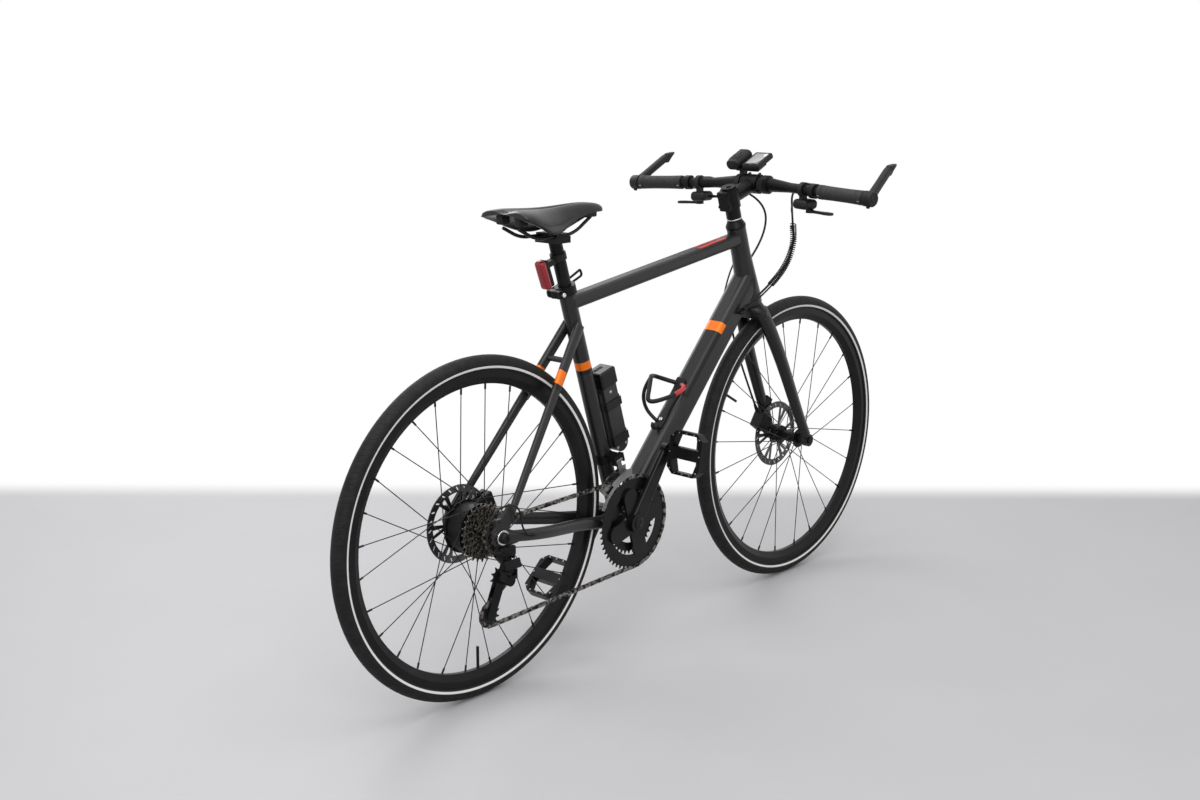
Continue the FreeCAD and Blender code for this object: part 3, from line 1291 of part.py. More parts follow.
# Cassette on its freehub body
hub_face = num(motor_right + " + 4")
freehub_end = num("cog_inner_y + 10 * cog_step + cog_t / 2")
core_low = rear - left * (hub_face + 0.5)
core_high = rear - left * freehub_end
cassette = [ring("freehub", core_low, core_high, "freehub_d / 2", bore)]
for index, teeth in enumerate(cog_teeth):
    plane = num("cog_inner_y") + index * num("cog_step")
    turn = phase(rear, 1) if index == cog_used else 0.3 * index
    cog = made(f"cog_{teeth}", sprocket(teeth, turn, num("cog_t"), num("freehub_d / 2")))
    cog.Placement = side_view(rear - left * plane)
    cassette.append(cog)
    if index < len(cog_teeth) - 1:
        low = rear - left * (plane + num("cog_t / 2"))
        high = rear - left * (plane + num("cog_step - cog_t / 2"))
        outer_size = "freehub_d / 2 + 9" if teeth > 20 else "freehub_d / 2 + 1.2"
        cassette.append(ring(f"cog_spacer_{teeth}", low, high, outer_size, "freehub_d / 2"))
cassette.append(ring("lockring", core_high, core_high - left * 2.4, "freehub_d / 2 - 1", bore))
node("cassette", cassette)

# Chainrings, cranks and pedals
arm_turn = math.radians(num("crank_angle"))
spider_turns = [45, 135, 225, 315]
bolt_circle = 55
lug_r = 18
spider_r = 20
big_hole = 72
small_hole = 47
big_teeth = int(num("big_ring_teeth"))
small_teeth = int(num("small_ring_teeth"))
small_y = ring_y + num("ring_step")


def tabs(inner, outer, thickness):
    """Four lugs from the bolt circle out to a ring, centred on z = 0."""
    shapes = []
    for spot in spider_turns:
        lug = slab(Vector(inner, 0, 0), Vector(outer, 0, 0), lug_r, thickness)
        lug.translate(Vector(0, 0, -thickness / 2))
        lug.rotate(Vector(), Vector(0, 0, 1), spot + num("crank_angle"))
        shapes.append(lug)
    return shapes


ring_t = num("ring_t")
big_plate = sprocket(big_teeth, phase(crank, 7), ring_t, big_hole)
lugs = tabs(bolt_circle, big_hole, ring_t)
big_ring = made("big_ring", big_plate.fuse(lugs).removeSplitter())
big_ring.Placement = side_view(crank + left * ring_y)
small_ring = made("small_ring", sprocket(small_teeth, 0.1, ring_t, small_hole))
small_ring.Placement = side_view(crank + left * small_y)
ring_bolts = []
for index, spot in enumerate(spider_turns):
    turn = math.radians(spot) + arm_turn
    foot = crank + Vector(bolt_circle * math.cos(turn), 0, bolt_circle * math.sin(turn))
    ring_bolts.append(rod(f"ring_bolt_{index + 1}", foot + left * (small_y - ring_t / 2),
                          foot + left * (ring_y + ring_t / 2), "5.5"))
node("chainrings", [big_ring, small_ring] + ring_bolts)

boss_in = num("bb_width / 2 + bb_cup_w") + 1
spider_face = num("big_ring_y") + ring_t / 2
eye_y = num("pedal_eye_y")
spindle = rod("crank_spindle", crank - left * (boss_in + 20), crank + left * (boss_in + 20), "spindle_d / 2")
arm_stations = [
    (0, spider_face + 7, 40, 13), (55, spider_face + 9, 34, 14), (num("crank_len"), eye_y - 7, 26, 13),
]
crank_pieces = [spindle]
pedal_eyes = {}
for side, sign in (("right", -1), ("left", 1)):
    way = Vector(math.cos(arm_turn), 0, math.sin(arm_turn)) * -sign
    across = Vector(-way.z, 0, way.x)
    eye = crank + way * num("crank_len")
    pedal_eyes[side] = eye
    wires = [
        rounded(crank + way * distance + left * sign * middle, across, left, wide, thick, 5)
        for distance, middle, wide, thick in arm_stations
    ]
    pieces = [
        made(f"crank_arm_{side}_bar", loft(wires, True)),
        rod(f"crank_boss_{side}", crank + left * sign * boss_in, crank + left * sign * (boss_in + 20), "22"),
        rod(f"crank_eye_{side}", eye + left * sign * (eye_y - 14), eye + left * sign * eye_y, "14.5"),
    ]
    if sign < 0:
        spider = slab(Vector(), Vector(bolt_circle + 4, 0, 0), spider_r, 6)
        arms = []
        for spot in spider_turns:
            arm = spider.copy()
            arm.rotate(Vector(), Vector(0, 0, 1), spot + num("crank_angle"))
            arms.append(arm)
        web = made("crank_spider", arms[0].fuse(arms[1:]))
        web.Placement = side_view(crank - left * spider_face)
        pieces.append(web)
    whole = joined(f"crank_arm_{side}_whole", pieces, False)
    spindle_hole = rod(f"crank_hole_{side}", crank, crank + left * sign * (boss_in + 20), "spindle_d / 2")
    outward = left * sign
    eye_hole = rod(f"eye_hole_{side}", eye + outward * (eye_y - 20), eye + outward * eye_y,
                   "pedal_axle_d / 2")
    crank_pieces.append(cut(f"crank_arm_{side}", whole, [spindle_hole, eye_hole]))
    shaft_out = eye_y + 8 + num("pedal_w") - 6
    crank_pieces.append(joined(f"pedal_axle_{side}", [
        rod(f"pedal_thread_{side}", eye + outward * (eye_y - 13), eye + outward * (eye_y + 7.5),
            "pedal_axle_d / 2"),
        rod(f"pedal_shaft_{side}", eye + outward * (eye_y + 7), eye + outward * shaft_out,
            "pedal_axle_d / 2 - 2"),
    ]))
node("crank_arms", crank_pieces)

for side, sign, tilt in (("right", -1, 80), ("left", 1, 43)):
    eye = pedal_eyes[side]
    lengthwise = Vector(math.cos(math.radians(tilt)), 0, math.sin(math.radians(tilt)))
    normal = lengthwise.cross(left)
    middle = eye + left * sign * (eye_y + 8 + num("pedal_w / 2"))
    place = Placement(middle, Rotation(lengthwise, left, normal, "ZXY"))
    place = place.multiply(Placement(Vector(0, 0, -num("pedal_h / 2")), Rotation()))
    rim_outline = [
        ("-pedal_len / 2", "-pedal_w / 2 + 16"), ("-pedal_len / 2 + 14", "-pedal_w / 2"),
        ("pedal_len / 2 - 14", "-pedal_w / 2"), ("pedal_len / 2", "-pedal_w / 2 + 16"),
        ("pedal_len / 2", "pedal_w / 2 - 16"), ("pedal_len / 2 - 14", "pedal_w / 2"),
        ("-pedal_len / 2 + 14", "pedal_w / 2"), ("-pedal_len / 2", "pedal_w / 2 - 16"),
    ]
    windows = []
    for way in (1, -1):
        near = f"{way} * pedal_len * 0.13"
        far = f"{way} * (pedal_len / 2 - 6)"
        windows.append([(near, "-pedal_w / 2 + 8"), (near, "pedal_w / 2 - 8"),
                        (far, "pedal_w / 2 - 17"), (far, "-pedal_w / 2 + 17")])
    cage = plate(f"pedal_{side}_cage", [rim_outline] + windows, "pedal_h", place)
    bore_end = eye_y + 8 + num("pedal_w") - 5.5
    shaft_hole = rod(f"pedal_{side}_bore", eye + left * sign * eye_y, eye + left * sign * bore_end,
                     "pedal_axle_d / 2 - 2 + run_gap")
    node(f"pedal_{side}", [cut(f"pedal_{side}", cage, [shaft_hole])])

# Rear derailleur: mount on the hanger, swinging link, knuckle, cage and two pulleys
hanger_bolt = rear + Vector(-2, 0, -27)
knuckle_in = cog_y - num("cage_gap / 2 + cage_plate_t + face_gap")
link_low = Vector(guide.x, knuckle_in - 18.5, guide.z + 17)
swing = math.radians(num("swing_tilt"))
link_high = link_low + Vector(0, math.sin(swing), math.cos(swing)) * num("swing_len")
link_half = 12
face_gap = num("face_gap")
hanger_face = -num("rear_old / 2 + dropout_t")
along_x = Vector(1, 0, 0)
ear_reach = link_half + face_gap + 2
mount_ears = [
    block(f"mount_ear_{name}", link_high + Vector(sign * ear_reach, -2, 0.5), ("4", "20", "13"))
    for name, sign in (("front", 1), ("back", -1))
]
bolt_face = Vector(hanger_bolt.x, hanger_face, hanger_bolt.z)
mount_body = joined("derailleur_mount_body", mount_ears + [
    block("mount_bridge", Vector(link_high.x, hanger_face - 5.5, link_high.z + 12), ("32.6", "10", "20")),
    rod("mount_boss", bolt_face, bolt_face - left * 11, "9"),
    rod("mount_pin", link_high - along_x * (link_half + 4), link_high + along_x * (link_half + 4), "2"),
], False)
cable_r_out = num("cable_d / 2")
loop_start = crank + stay_line * 0.80 - left * (dropout_y + 8.7)
loop_end = Vector(hanger_bolt.x - 10.5, hanger_face - 6, hanger_bolt.z)
loop_y = hanger_face - 14
cable_loop = made("cable_loop", routed([
    loop_start, Vector(rear.x + 42, loop_y, rear.z - 3), Vector(rear.x + 36, loop_y, rear.z + 66),
    Vector(rear.x - 40, loop_y, rear.z + 66), Vector(rear.x - 57, loop_y + 2, rear.z - 18), loop_end],
    cable_r_out, "cable_loop"))
node("rear_derailleur_mount", [mount_body, cable_loop])

link_place = facing(link_low, link_high - link_low)
link_cover = block("link_shell_block", Vector(0, -17, 13.5), ("40", "6", "19"), link_place)
link_whole = joined("derailleur_link_whole", [
    rod("link_eye_high", link_high - along_x * link_half, link_high + along_x * link_half, "5"),
    rod("link_eye_low", link_low - along_x * link_half, link_low + along_x * link_half, "5"),
    block("link_plate", Vector(0, 0, num("swing_len / 2")), ("24", "7", "swing_len"), link_place),
    softened("link_shell", link_cover, 2.5),
    block("link_web", Vector(0, -9.5, 14), ("20", "13", "12"), link_place),
])
link_holes = [
    rod("link_hole_high", link_high - along_x * 20, link_high + along_x * 20, "2 + run_gap"),
    rod("link_hole_low", link_low - along_x * 20, link_low + along_x * 20, "2 + run_gap"),
]
node("rear_derailleur_link", [cut("rear_derailleur_link", link_whole, link_holes)])

cage_axle = Vector(guide.x, knuckle_in, guide.z)
knuckle_whole = joined("derailleur_knuckle_whole", [
    rod("knuckle_drum", cage_axle, cage_axle - left * 25, "11"),
    block("knuckle_fore", link_low + Vector(link_half + face_gap + 2, 0, -5), ("4", "14", "20")),
    block("knuckle_aft", link_low + Vector(-link_half - face_gap - 2, 0, -5), ("4", "14", "20")),
    block("knuckle_seat", Vector(guide.x, link_low.y, guide.z + 6), ("32.6", "14", "8")),
    rod("knuckle_pin", link_low - along_x * (link_half + 4), link_low + along_x * (link_half + 4), "2"),
])
knuckle_hole = rod("knuckle_hole", cage_axle, cage_axle - left * 10, "5 + run_gap")
node("rear_derailleur_knuckle", [cut("rear_derailleur_knuckle", knuckle_whole, [knuckle_hole])])

cage_pieces = []
cage_flat = tension - guide
for name, outward in (("outer", 1), ("inner", -1)):
    near = outward * num("cage_gap / 2") if outward > 0 else -num("cage_gap / 2 + cage_plate_t")
    shape = slab(Vector(), Vector(cage_flat.x, cage_flat.z, 0), 10.5, num("cage_plate_t"))
    piece = made(f"cage_plate_{name}", shape)
    piece.Placement = side_view(guide - left * near)
    cage_pieces.append(piece)
half_cage = num("cage_gap / 2") + 0.4
for name, centre in (("guide", guide), ("tension", tension)):
    cage_pieces.append(rod(f"{name}_pin", centre - left * half_cage, centre + left * half_cage, "2.5"))
cage_pieces.append(rod("cage_stub", guide - left * (num("cage_gap / 2") + 0.8), cage_axle - left * 9.5, "5"))
node("rear_derailleur_cage", [joined("rear_derailleur_cage", cage_pieces)])
for name, centre, stretch in (("guide_pulley", guide, 3), ("tension_pulley", tension, 5)):
    teeth = int(num("pulley_teeth"))
    toothed = made(f"{name}_teeth", sprocket(teeth, phase(centre, stretch), num("cog_t"), 0))
    toothed.Placement = side_view(centre)
    width = left * (num("cage_gap / 2") - face_gap)
    hub = rod(f"{name}_hub", centre - width, centre + width, "6.5")
    hole = rod(f"{name}_hole", centre - width, centre + width, "2.5 + run_gap")
    node(name, [cut(name, joined(f"{name}_whole", [toothed, hub]), [hole])])

# Front derailleur: band on the seat tube and a cage over the outer ring
cage_mid = math.radians(107)
pivot_r_out = 150
swing_y = ring_y + 5
pivot = crank + Vector(pivot_r_out * math.cos(cage_mid), swing_y, pivot_r_out * math.sin(cage_mid))
fore_tangent = Vector(math.sin(cage_mid), 0, -math.cos(cage_mid))
changer = facing(pivot, Vector(0, -1, 0), fore_tangent)
barrel_half = 10
band = rod("changer_band", on_seat(pivot_r_out - 9), on_seat(pivot_r_out + 9), "seat_tube_d / 2 + 3")
changer_whole = joined("changer_mount_whole", [
    band,
    block("changer_arm", Vector(0, 8.5, -(abs(swing_y) - 12) / 2 - 3), ("20", "9", str(abs(swing_y) - 18)),
          changer),
    block("changer_roof", Vector(0, 9.5, 0), ("28.6", "7", "12"), changer),
    block("changer_ear_fore", Vector(12.3, 2, 0), ("4", "16", "12"), changer),
    block("changer_ear_aft", Vector(-12.3, 2, 0), ("4", "16", "12"), changer),
    rod("changer_pin", changer.multVec(Vector(-14, 0, 0)), changer.multVec(Vector(14, 0, 0)), "2"),
])
node("front_derailleur_mount", [cut("front_derailleur_mount", changer_whole, [seat_core])])


def sector(inner, outer, low, high, start_deg, end_deg):
    """Part of a flat ring about the crank axle, between two planes to the right."""
    shape = Part.makeCylinder(outer, high - low, Vector(), Vector(0, 0, 1), end_deg - start_deg)
    shape = shape.cut(Part.makeCylinder(inner, high - low))
    shape.rotate(Vector(), Vector(0, 0, 1), start_deg)
    shape.Placement = side_view(crank - left * low).multiply(shape.Placement)
    return shape


tip_r = pitch_radius(big_teeth) + 3.2
plate_low = tip_r + 3
plate_high = tip_r + 20
outer_in = num("big_ring_y") + 5
inner_in = num("big_ring_y - ring_step") - 3.5
plate_t = 1.5
changer_cage = [
    made("changer_outer", sector(plate_low, plate_high, outer_in, outer_in + plate_t, 96, 127)),
    made("changer_fin", sector(plate_low, plate_low + 8, outer_in, outer_in + plate_t, 126, 155)),
    made("changer_inner", sector(plate_low, plate_high + 6, inner_in, inner_in + plate_t, 97, 138)),
    made("changer_top", sector(plate_high - 4, plate_high, inner_in, outer_in + plate_t, 101, 112)),
    made("changer_tail", sector(plate_low, plate_low + 3, inner_in, outer_in + plate_t, 135, 138)),
    block("changer_stalk", Vector(0, (plate_high - 2 - pivot_r_out - 2) / 2, 0),
          ("12", str(pivot_r_out - plate_high + 2), "5"), changer),
    rod("changer_barrel", changer.multVec(Vector(-barrel_half, 0, 0)),
        changer.multVec(Vector(barrel_half, 0, 0)), "5"),
]
changer_hole = rod("changer_hole", changer.multVec(Vector(-15, 0, 0)),
                   changer.multVec(Vector(15, 0, 0)), "2 + run_gap")
changer_cage_whole = joined("changer_cage_whole", changer_cage)
node("front_derailleur_cage", [cut("front_derailleur_cage", changer_cage_whole, [changer_hole])])

# Seat clamp and its lever
seat_frame = facing(seat_top, seat_up, seat_fore)
collar = rod("collar", on_seat(num("seat_tube_len") - 17), on_seat(num("seat_tube_len") + 1.5),
             "seat_tube_d / 2 + 4.5")
ears = block("collar_ears", Vector(-23, 0, -8), ("16", "26", "16"), seat_frame)
slit = block("collar_slit", Vector(-30, 0, -8), ("40", "2", "30"), seat_frame)
lever_pivot = Vector(-25, 21, -8)
yoke = [
    block(f"collar_yoke_{name}", Vector(-25, 17.5, -8 + height), ("8", "13", "2.6"), seat_frame)
    for name, height in (("top", 6.6), ("low", -6.6))
]
yoke_pin = rod("collar_pin", seat_frame.multVec(lever_pivot - Vector(0, 0, 7.5)),
               seat_frame.multVec(lever_pivot + Vector(0, 0, 7.5)), "2.5")
knob = rod("collar_nut", seat_frame.multVec(Vector(-25, -12.5, -8)),
           seat_frame.multVec(Vector(-25, -18, -8)), "6")
post_space = rod("post_space", on_seat(num("seat_tube_len") - 40), on_seat(num("seat_tube_len") + 40),
                 "seatpost_d / 2 + 0.6")
clamp_whole = joined("seat_clamp_whole", [collar, ears, yoke_pin, knob] + yoke)
node("seat_clamp", [cut("seat_clamp", clamp_whole, [seat_core, slit, post_space])])
lever_spots = [(-25, 22.5, 0, 5, 8), (0, 28, -2, 5, 9), (40, 28, -3, 5, 11), (74, 26, 2, 5, 15)]
lever_wires = [
    rounded(seat_frame.multVec(Vector(fore, aside, -8 + rise)), seat_frame.Rotation.multVec(Vector(0, 1, 0)),
            seat_frame.Rotation.multVec(Vector(0, 0, 1)), thick, tall, 1.8)
    for fore, aside, rise, thick, tall in lever_spots
]
lever_whole = joined("seat_lever_whole", [
    rod("seat_lever_barrel", seat_frame.multVec(lever_pivot - Vector(0, 0, 5)),
        seat_frame.multVec(lever_pivot + Vector(0, 0, 5)), "6.5"),
    made("seat_lever_arm", loft(lever_wires, True)),
])
lever_bore = rod("seat_lever_bore", seat_frame.multVec(lever_pivot - Vector(0, 0, 9)),
                 seat_frame.multVec(lever_pivot + Vector(0, 0, 9)), "2.5 + run_gap")
node("seat_clamp_lever", [cut("seat_clamp_lever", lever_whole, [lever_bore])])

# Seatpost, saddle clamp, rails and saddle
post_low = on_seat(num("seat_tube_len - seatpost_in"))
post_high = on_seat(num("seat_tube_len + seatpost_out"))
post_whole = rod("seatpost_whole", post_low, post_high + seat_up * 12, "seatpost_d / 2")
clamp_mid = post_high + Vector(-8, 0, 12)
above = block("above_post", Vector(clamp_mid.x, 0, clamp_mid.z - 6 + 40), ("160", "160", "80"))
node("seatpost", [cut("seatpost", post_whole, [above])])
rail_r = num("rail_d / 2")
gauge = num("rail_gauge / 2")
rail_z = clamp_mid.z + 7
nose_x = clamp_mid.x + 136
tail_x = nose_x - num("saddle_len")
rails = []
for side, sign in (("left", 1), ("right", -1)):
    rails.append(made(f"rail_{side}", routed([
        Vector(tail_x + 24, sign * gauge, rail_z + 22), Vector(tail_x + 68, sign * gauge, rail_z),
        Vector(clamp_mid.x + 32, sign * gauge, rail_z + 0.5), Vector(nose_x - 38, sign * 9, rail_z + 31)],
        rail_r, f"rail_{side}")))
node("saddle_rails", rails)
rail_tools = joined("rail_tools", rails)
clamp_low = block("clamp_low_block", clamp_mid + Vector(0, 0, 0.5), ("42", "rail_gauge + 14", "13"))
clamp_high = block("clamp_high_block", clamp_mid + Vector(0, 0, 10.5), ("36", "rail_gauge + 14", "6"))
clamp_bolts = [
    rod(f"clamp_bolt_{index + 1}", clamp_mid + Vector(x, 0, 13.5), clamp_mid + Vector(x, 0, 17), "4.5")
    for index, x in enumerate((-11, 11))
]
clamp_jaws = [cut("clamp_low", clamp_low, [rail_tools]), cut("clamp_high", clamp_high, [rail_tools])]
node("saddle_clamp", clamp_jaws + clamp_bolts)


def saddle_section(x, half_wide, top, bottom):
    """A saddle's cross-section: flat below, sides drawn in, crowned on top."""
    tall = top - bottom
    low_left = Vector(x, -0.78 * half_wide, bottom)
    low_right = Vector(x, 0.78 * half_wide, bottom)
    high_left = Vector(x, -0.62 * half_wide, top - 0.1 * tall)
    high_right = Vector(x, 0.62 * half_wide, top - 0.1 * tall)
    return Part.Wire([
        Part.LineSegment(low_right, low_left).toShape(),
        Part.Arc(low_left, Vector(x, -half_wide, bottom + 0.5 * tall), high_left).toShape(),
        Part.Arc(high_left, Vector(x, 0, top), high_right).toShape(),
        Part.Arc(high_right, Vector(x, half_wide, bottom + 0.5 * tall), low_right).toShape(),
    ])


saddle_base = rail_z + 20
saddle_stations = [
    (0.0, 0.13, 25, 6), (0.07, 0.26, 33, 1), (0.25, 0.33, 32, -2), (0.5, 0.5, 27, -6),
    (0.74, 0.88, 28, -11), (0.92, 1.0, 31, -7), (1.0, 0.86, 25, 2),
]
saddle_wires = [
    saddle_section(nose_x - num("saddle_len") * share, num("saddle_w / 2") * wide,
                   saddle_base + top, saddle_base + low)
    for share, wide, top, low in saddle_stations
]
saddle_whole = made("saddle_whole", loft(saddle_wires))
node("saddle", [cut("saddle", saddle_whole, [rail_tools])])

# Rear light on the seatpost
lamp_s = num("seat_tube_len") + 64
lamp_frame = facing(on_seat(lamp_s), seat_up, seat_fore)
strap = ring("lamp_strap", on_seat(lamp_s - 7), on_seat(lamp_s + 7), "seatpost_d / 2 + 3", "seatpost_d / 2")
strap_arm = block("lamp_arm_block", Vector(-25, 0, -4), ("22", "12", "12"), lamp_frame)
strap_bore = rod("lamp_arm_bore", on_seat(lamp_s - 30), on_seat(lamp_s + 30), "seatpost_d / 2")
strap_arm = cut("lamp_arm", strap_arm, [strap_bore])
node("rear_light_bracket", [joined("rear_light_bracket", [strap, strap_arm])])
lamp_block = block("rear_light_block", Vector(-47, 0, -20), ("22", "26", "62"), lamp_frame)
node("rear_light", [softened("rear_light", lamp_block, 6)])

# Folding lock in its holder on the seat tube
lock_low = 147
lock_place = facing(on_seat(lock_low), seat_up, seat_fore)
lock_back = num("seat_tube_d / 2") + 6
backing = block("holder_back", Vector(lock_back - 5, 0, 82), ("10", "28", "126"), lock_place)
holder_pieces = [backing]
lock_room = ("lock_depth + 2 * face_gap", "lock_w + 2 * face_gap", "300")
lock_mid = lock_back + face_gap + num("lock_depth / 2")
for name, height in (("low", 30), ("high", 112)):
    holder_pieces.append(block(f"holder_strap_{name}", Vector(lock_mid, 0, height),
                               ("lock_depth + 6", "lock_w + 6", "18"), lock_place))
holder_whole = joined("lock_holder_whole", holder_pieces)
lock_space = block("lock_space", Vector(lock_mid, 0, 75), lock_room, lock_place)
node("lock_holder", [cut("lock_holder", holder_whole, [lock_space, seat_core])])
bars = []
bar_count = 5
bar_t = num("lock_w") / bar_count
for index in range(bar_count):
    shape = slab(Vector(num("lock_depth / 2"), num("lock_depth / 2"), 0),
                 Vector(num("lock_depth / 2"), num("lock_len") - 1, 0), num("lock_depth / 2"), bar_t - 0.2)
    bar_piece = made(f"lock_bar_{index + 1}", shape)
    corner = Vector(lock_back + face_gap, num("lock_w / 2") - bar_t * index - 0.1, 0)
    bar_piece.Placement = lock_place.multiply(Placement(corner, Rotation(Vector(1, 0, 0), 90)))
    bars.append(bar_piece)
head_centre = Vector(lock_mid + 2, 0, num("lock_len + lock_head_h / 2"))
head_block = block("lock_head_block", head_centre, ("lock_depth + 8", "lock_w + 6", "lock_head_h"),
                   lock_place)
lock_head = softened("lock_head", head_block, 5)
lock_rivet = rod("lock_rivet", lock_place.multVec(Vector(lock_mid, -num("lock_w / 2"), 20)),
                 lock_place.multVec(Vector(lock_mid, num("lock_w / 2"), 20)), "5")
node("folding_lock", [joined("folding_lock", bars + [lock_rivet, lock_head])])

# Bottle cage on the down tube
cage_top = (down_end - down_start).Length - num("cage_up")
cage_frame = Placement(down_at(cage_top, 0, num("down_tube_h / 2")),
                       Rotation(down_up, down_along.cross(down_up), down_along, "ZXY"))
wire_r = num("cage_wire_d / 2")
bottle_axis = 2 * wire_r + num("bottle_d / 2")
hoop = doc.addObject("Part::Torus", "bottle_hoop")
hoop.setExpression("Radius1", sized("bottle_d / 2 + cage_wire_d / 2 + face_gap"))
hoop.setExpression("Radius2", sized("cage_wire_d / 2 - face_gap"))
hoop.Placement = cage_frame.multiply(Placement(Vector(bottle_axis, 0, -13), Rotation(Vector(0, 1, 0), -10)))
spine = block("bottle_spine", Vector(2, 0, -38), ("4", "26", "118"), cage_frame)
foot = block("bottle_foot", Vector(13, 0, -94.5), ("26", "24", "5"), cage_frame)
toe = block("bottle_toe", Vector(24, 0, -89), ("5", "24", "14"), cage_frame)
strut_spots = [(82, -12, -13), (74, -30, -24), (47, -44, -42), (20, -36, -58), (3, -8, -72)]
strut = made("bottle_strut", routed(
    [cage_frame.multVec(Vector(*spot)) for spot in strut_spots], num("cage_wire_d / 2 - 1"), "bottle_strut"))
cage_bolts = [
    rod(f"cage_bolt_{index + 1}", cage_frame.multVec(Vector(4, 0, -height)),
        cage_frame.multVec(Vector(7, 0, -height)), "4.5")
    for index, height in enumerate((0, 64))
]
cage_whole = joined("bottle_cage_whole", [hoop, spine, foot, toe, strut])
node("bottle_cage", [cut("bottle_cage_rails", cage_whole, [down_whole])] + cage_bolts)

# Checks and files
doc.recompute()
unsound = [item.Label for item in doc.Objects if "Invalid" in item.State or "Error" in item.State]
unsound += [label for label, item in NODES.items() if item.Shape.isNull() or not item.Shape.isValid()]
if unsound:
    raise RuntimeError(f"not built: {unsound}")
os.makedirs("parts", exist_ok=True)
for label, item in NODES.items():
    item.Shape.exportStep(f"parts/{label}.step")
print("nodes", len(NODES))
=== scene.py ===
import bpy
import json
import math
from mathutils import Matrix, Vector


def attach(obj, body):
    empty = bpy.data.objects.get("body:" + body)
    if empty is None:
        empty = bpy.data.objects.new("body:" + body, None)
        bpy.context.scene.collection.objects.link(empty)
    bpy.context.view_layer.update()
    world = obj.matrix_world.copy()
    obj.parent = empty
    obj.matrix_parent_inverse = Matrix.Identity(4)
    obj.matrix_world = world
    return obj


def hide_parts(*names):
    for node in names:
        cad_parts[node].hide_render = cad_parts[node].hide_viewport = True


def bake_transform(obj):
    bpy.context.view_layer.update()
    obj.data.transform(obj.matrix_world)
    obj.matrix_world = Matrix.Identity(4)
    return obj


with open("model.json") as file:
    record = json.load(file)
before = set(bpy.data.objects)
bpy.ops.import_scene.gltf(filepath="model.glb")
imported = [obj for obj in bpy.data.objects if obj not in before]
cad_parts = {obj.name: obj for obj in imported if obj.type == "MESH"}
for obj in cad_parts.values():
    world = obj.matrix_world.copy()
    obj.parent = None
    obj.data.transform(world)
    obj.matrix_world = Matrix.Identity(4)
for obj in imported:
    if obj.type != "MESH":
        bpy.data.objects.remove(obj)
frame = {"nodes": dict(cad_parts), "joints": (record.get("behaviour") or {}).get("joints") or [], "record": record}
nodes = frame["nodes"]
joints = {joint["name"]: joint for joint in frame["joints"]}
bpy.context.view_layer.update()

frontAxle = Vector(joints["front_wheel_spin"]["pos_m"])
rearAxle = Vector(joints["rear_wheel_spin"]["pos_m"])
crankAxle = Vector(joints["crank_spin"]["pos_m"])
steerUp = Vector(joints["steer"]["axis"])
steerFoot = Vector((0.47043, 0, 0.33009))
seatUp = Vector(joints["seatpost_slide"]["axis"])
seatFore = Vector((seatUp.z, 0, -seatUp.x))
downStart = Vector((-0.092, 0, 0.277))
downAlong = Vector((0.6665, 0, 0.7455))
downUp = Vector((-0.7455, 0, 0.6665))
stayFoot = rearAxle + Vector((0.031, 0, 0.044))
stayAlong = Vector((0.5978, 0, 0.8017))
topStart = Vector((-0.2535, 0, 0.7628))
topAlong = Vector((0.9883, 0, 0.1527))


# camera where the photograph was taken from
cameraPlace = {
    "spot": (-2.3555, -2.0543, 1.2284),
    "yaw": 43.10,
    "pitch": -12.79,
    "roll": 0.16,
    "lens": 44.13,
    "sensor": 36.0,
}


def addCamera(place):
    bpy.ops.object.camera_add(location=place["spot"])
    camera = bpy.context.object
    camera.name = "photoCamera"
    yaw = math.radians(place["yaw"])
    pitch = math.radians(place["pitch"])
    ahead = Vector((math.cos(pitch) * math.cos(yaw), math.cos(pitch) * math.sin(yaw), math.sin(pitch)))
    turn = ahead.to_track_quat("-Z", "Y").to_matrix() @ Matrix.Rotation(math.radians(place["roll"]), 3, "Z")
    camera.rotation_euler = turn.to_euler()
    camera.data.sensor_fit = "HORIZONTAL"
    camera.data.sensor_width = place["sensor"]
    camera.data.lens = place["lens"]
    camera.data.dof.use_dof = False
    camera.data.clip_end = 100
    bpy.context.scene.camera = camera


addCamera(cameraPlace)
bpy.context.scene.view_settings.view_transform = "Standard"
print("camera set")


# shared steps
def pieceFrom(name):
    piece = bpy.context.object
    piece.name = name
    piece.data.name = name
    return piece


def onlyActive(piece):
    bpy.ops.object.select_all(action="DESELECT")
    piece.select_set(True)
    bpy.context.view_layer.objects.active = piece


def applyModifier(piece, kind, **settings):
    onlyActive(piece)
    modifier = piece.modifiers.new(kind.lower(), kind)
    for key, value in settings.items():
        setattr(modifier, key, value)
    bpy.ops.object.modifier_apply(modifier=modifier.name)


def dressPiece(piece, body, slotName, material=None, smoothAngle=35):
    onlyActive(piece)
    bpy.ops.object.transform_apply(location=True, rotation=True, scale=True)
    bpy.ops.object.shade_smooth_by_angle(angle=math.radians(smoothAngle))
    piece.data.materials.clear()
    piece.data.materials.append(material or finishes[slotName])
    if body:
        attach(piece, body)
    return piece


# shared material steps
def newMaterial(name):
    material = bpy.data.materials.new(name)
    material.use_nodes = True
    tree = material.node_tree
    return material, tree, tree.nodes["Principled BSDF"]


def addNode(tree, kind, **settings):
    node = tree.nodes.new(kind)
    for key, value in settings.items():
        setattr(node, key, value)
    return node


def objectPlace(tree):
    return addNode(tree, "ShaderNodeTexCoord").outputs["Object"]


def noiseOf(tree, place, scale, detail=3.0, rough=0.55):
    node = addNode(tree, "ShaderNodeTexNoise")
    node.inputs["Scale"].default_value = scale
    node.inputs["Detail"].default_value = detail
    node.inputs["Roughness"].default_value = rough
    tree.links.new(place, node.inputs["Vector"])
    return node.outputs["Fac"]


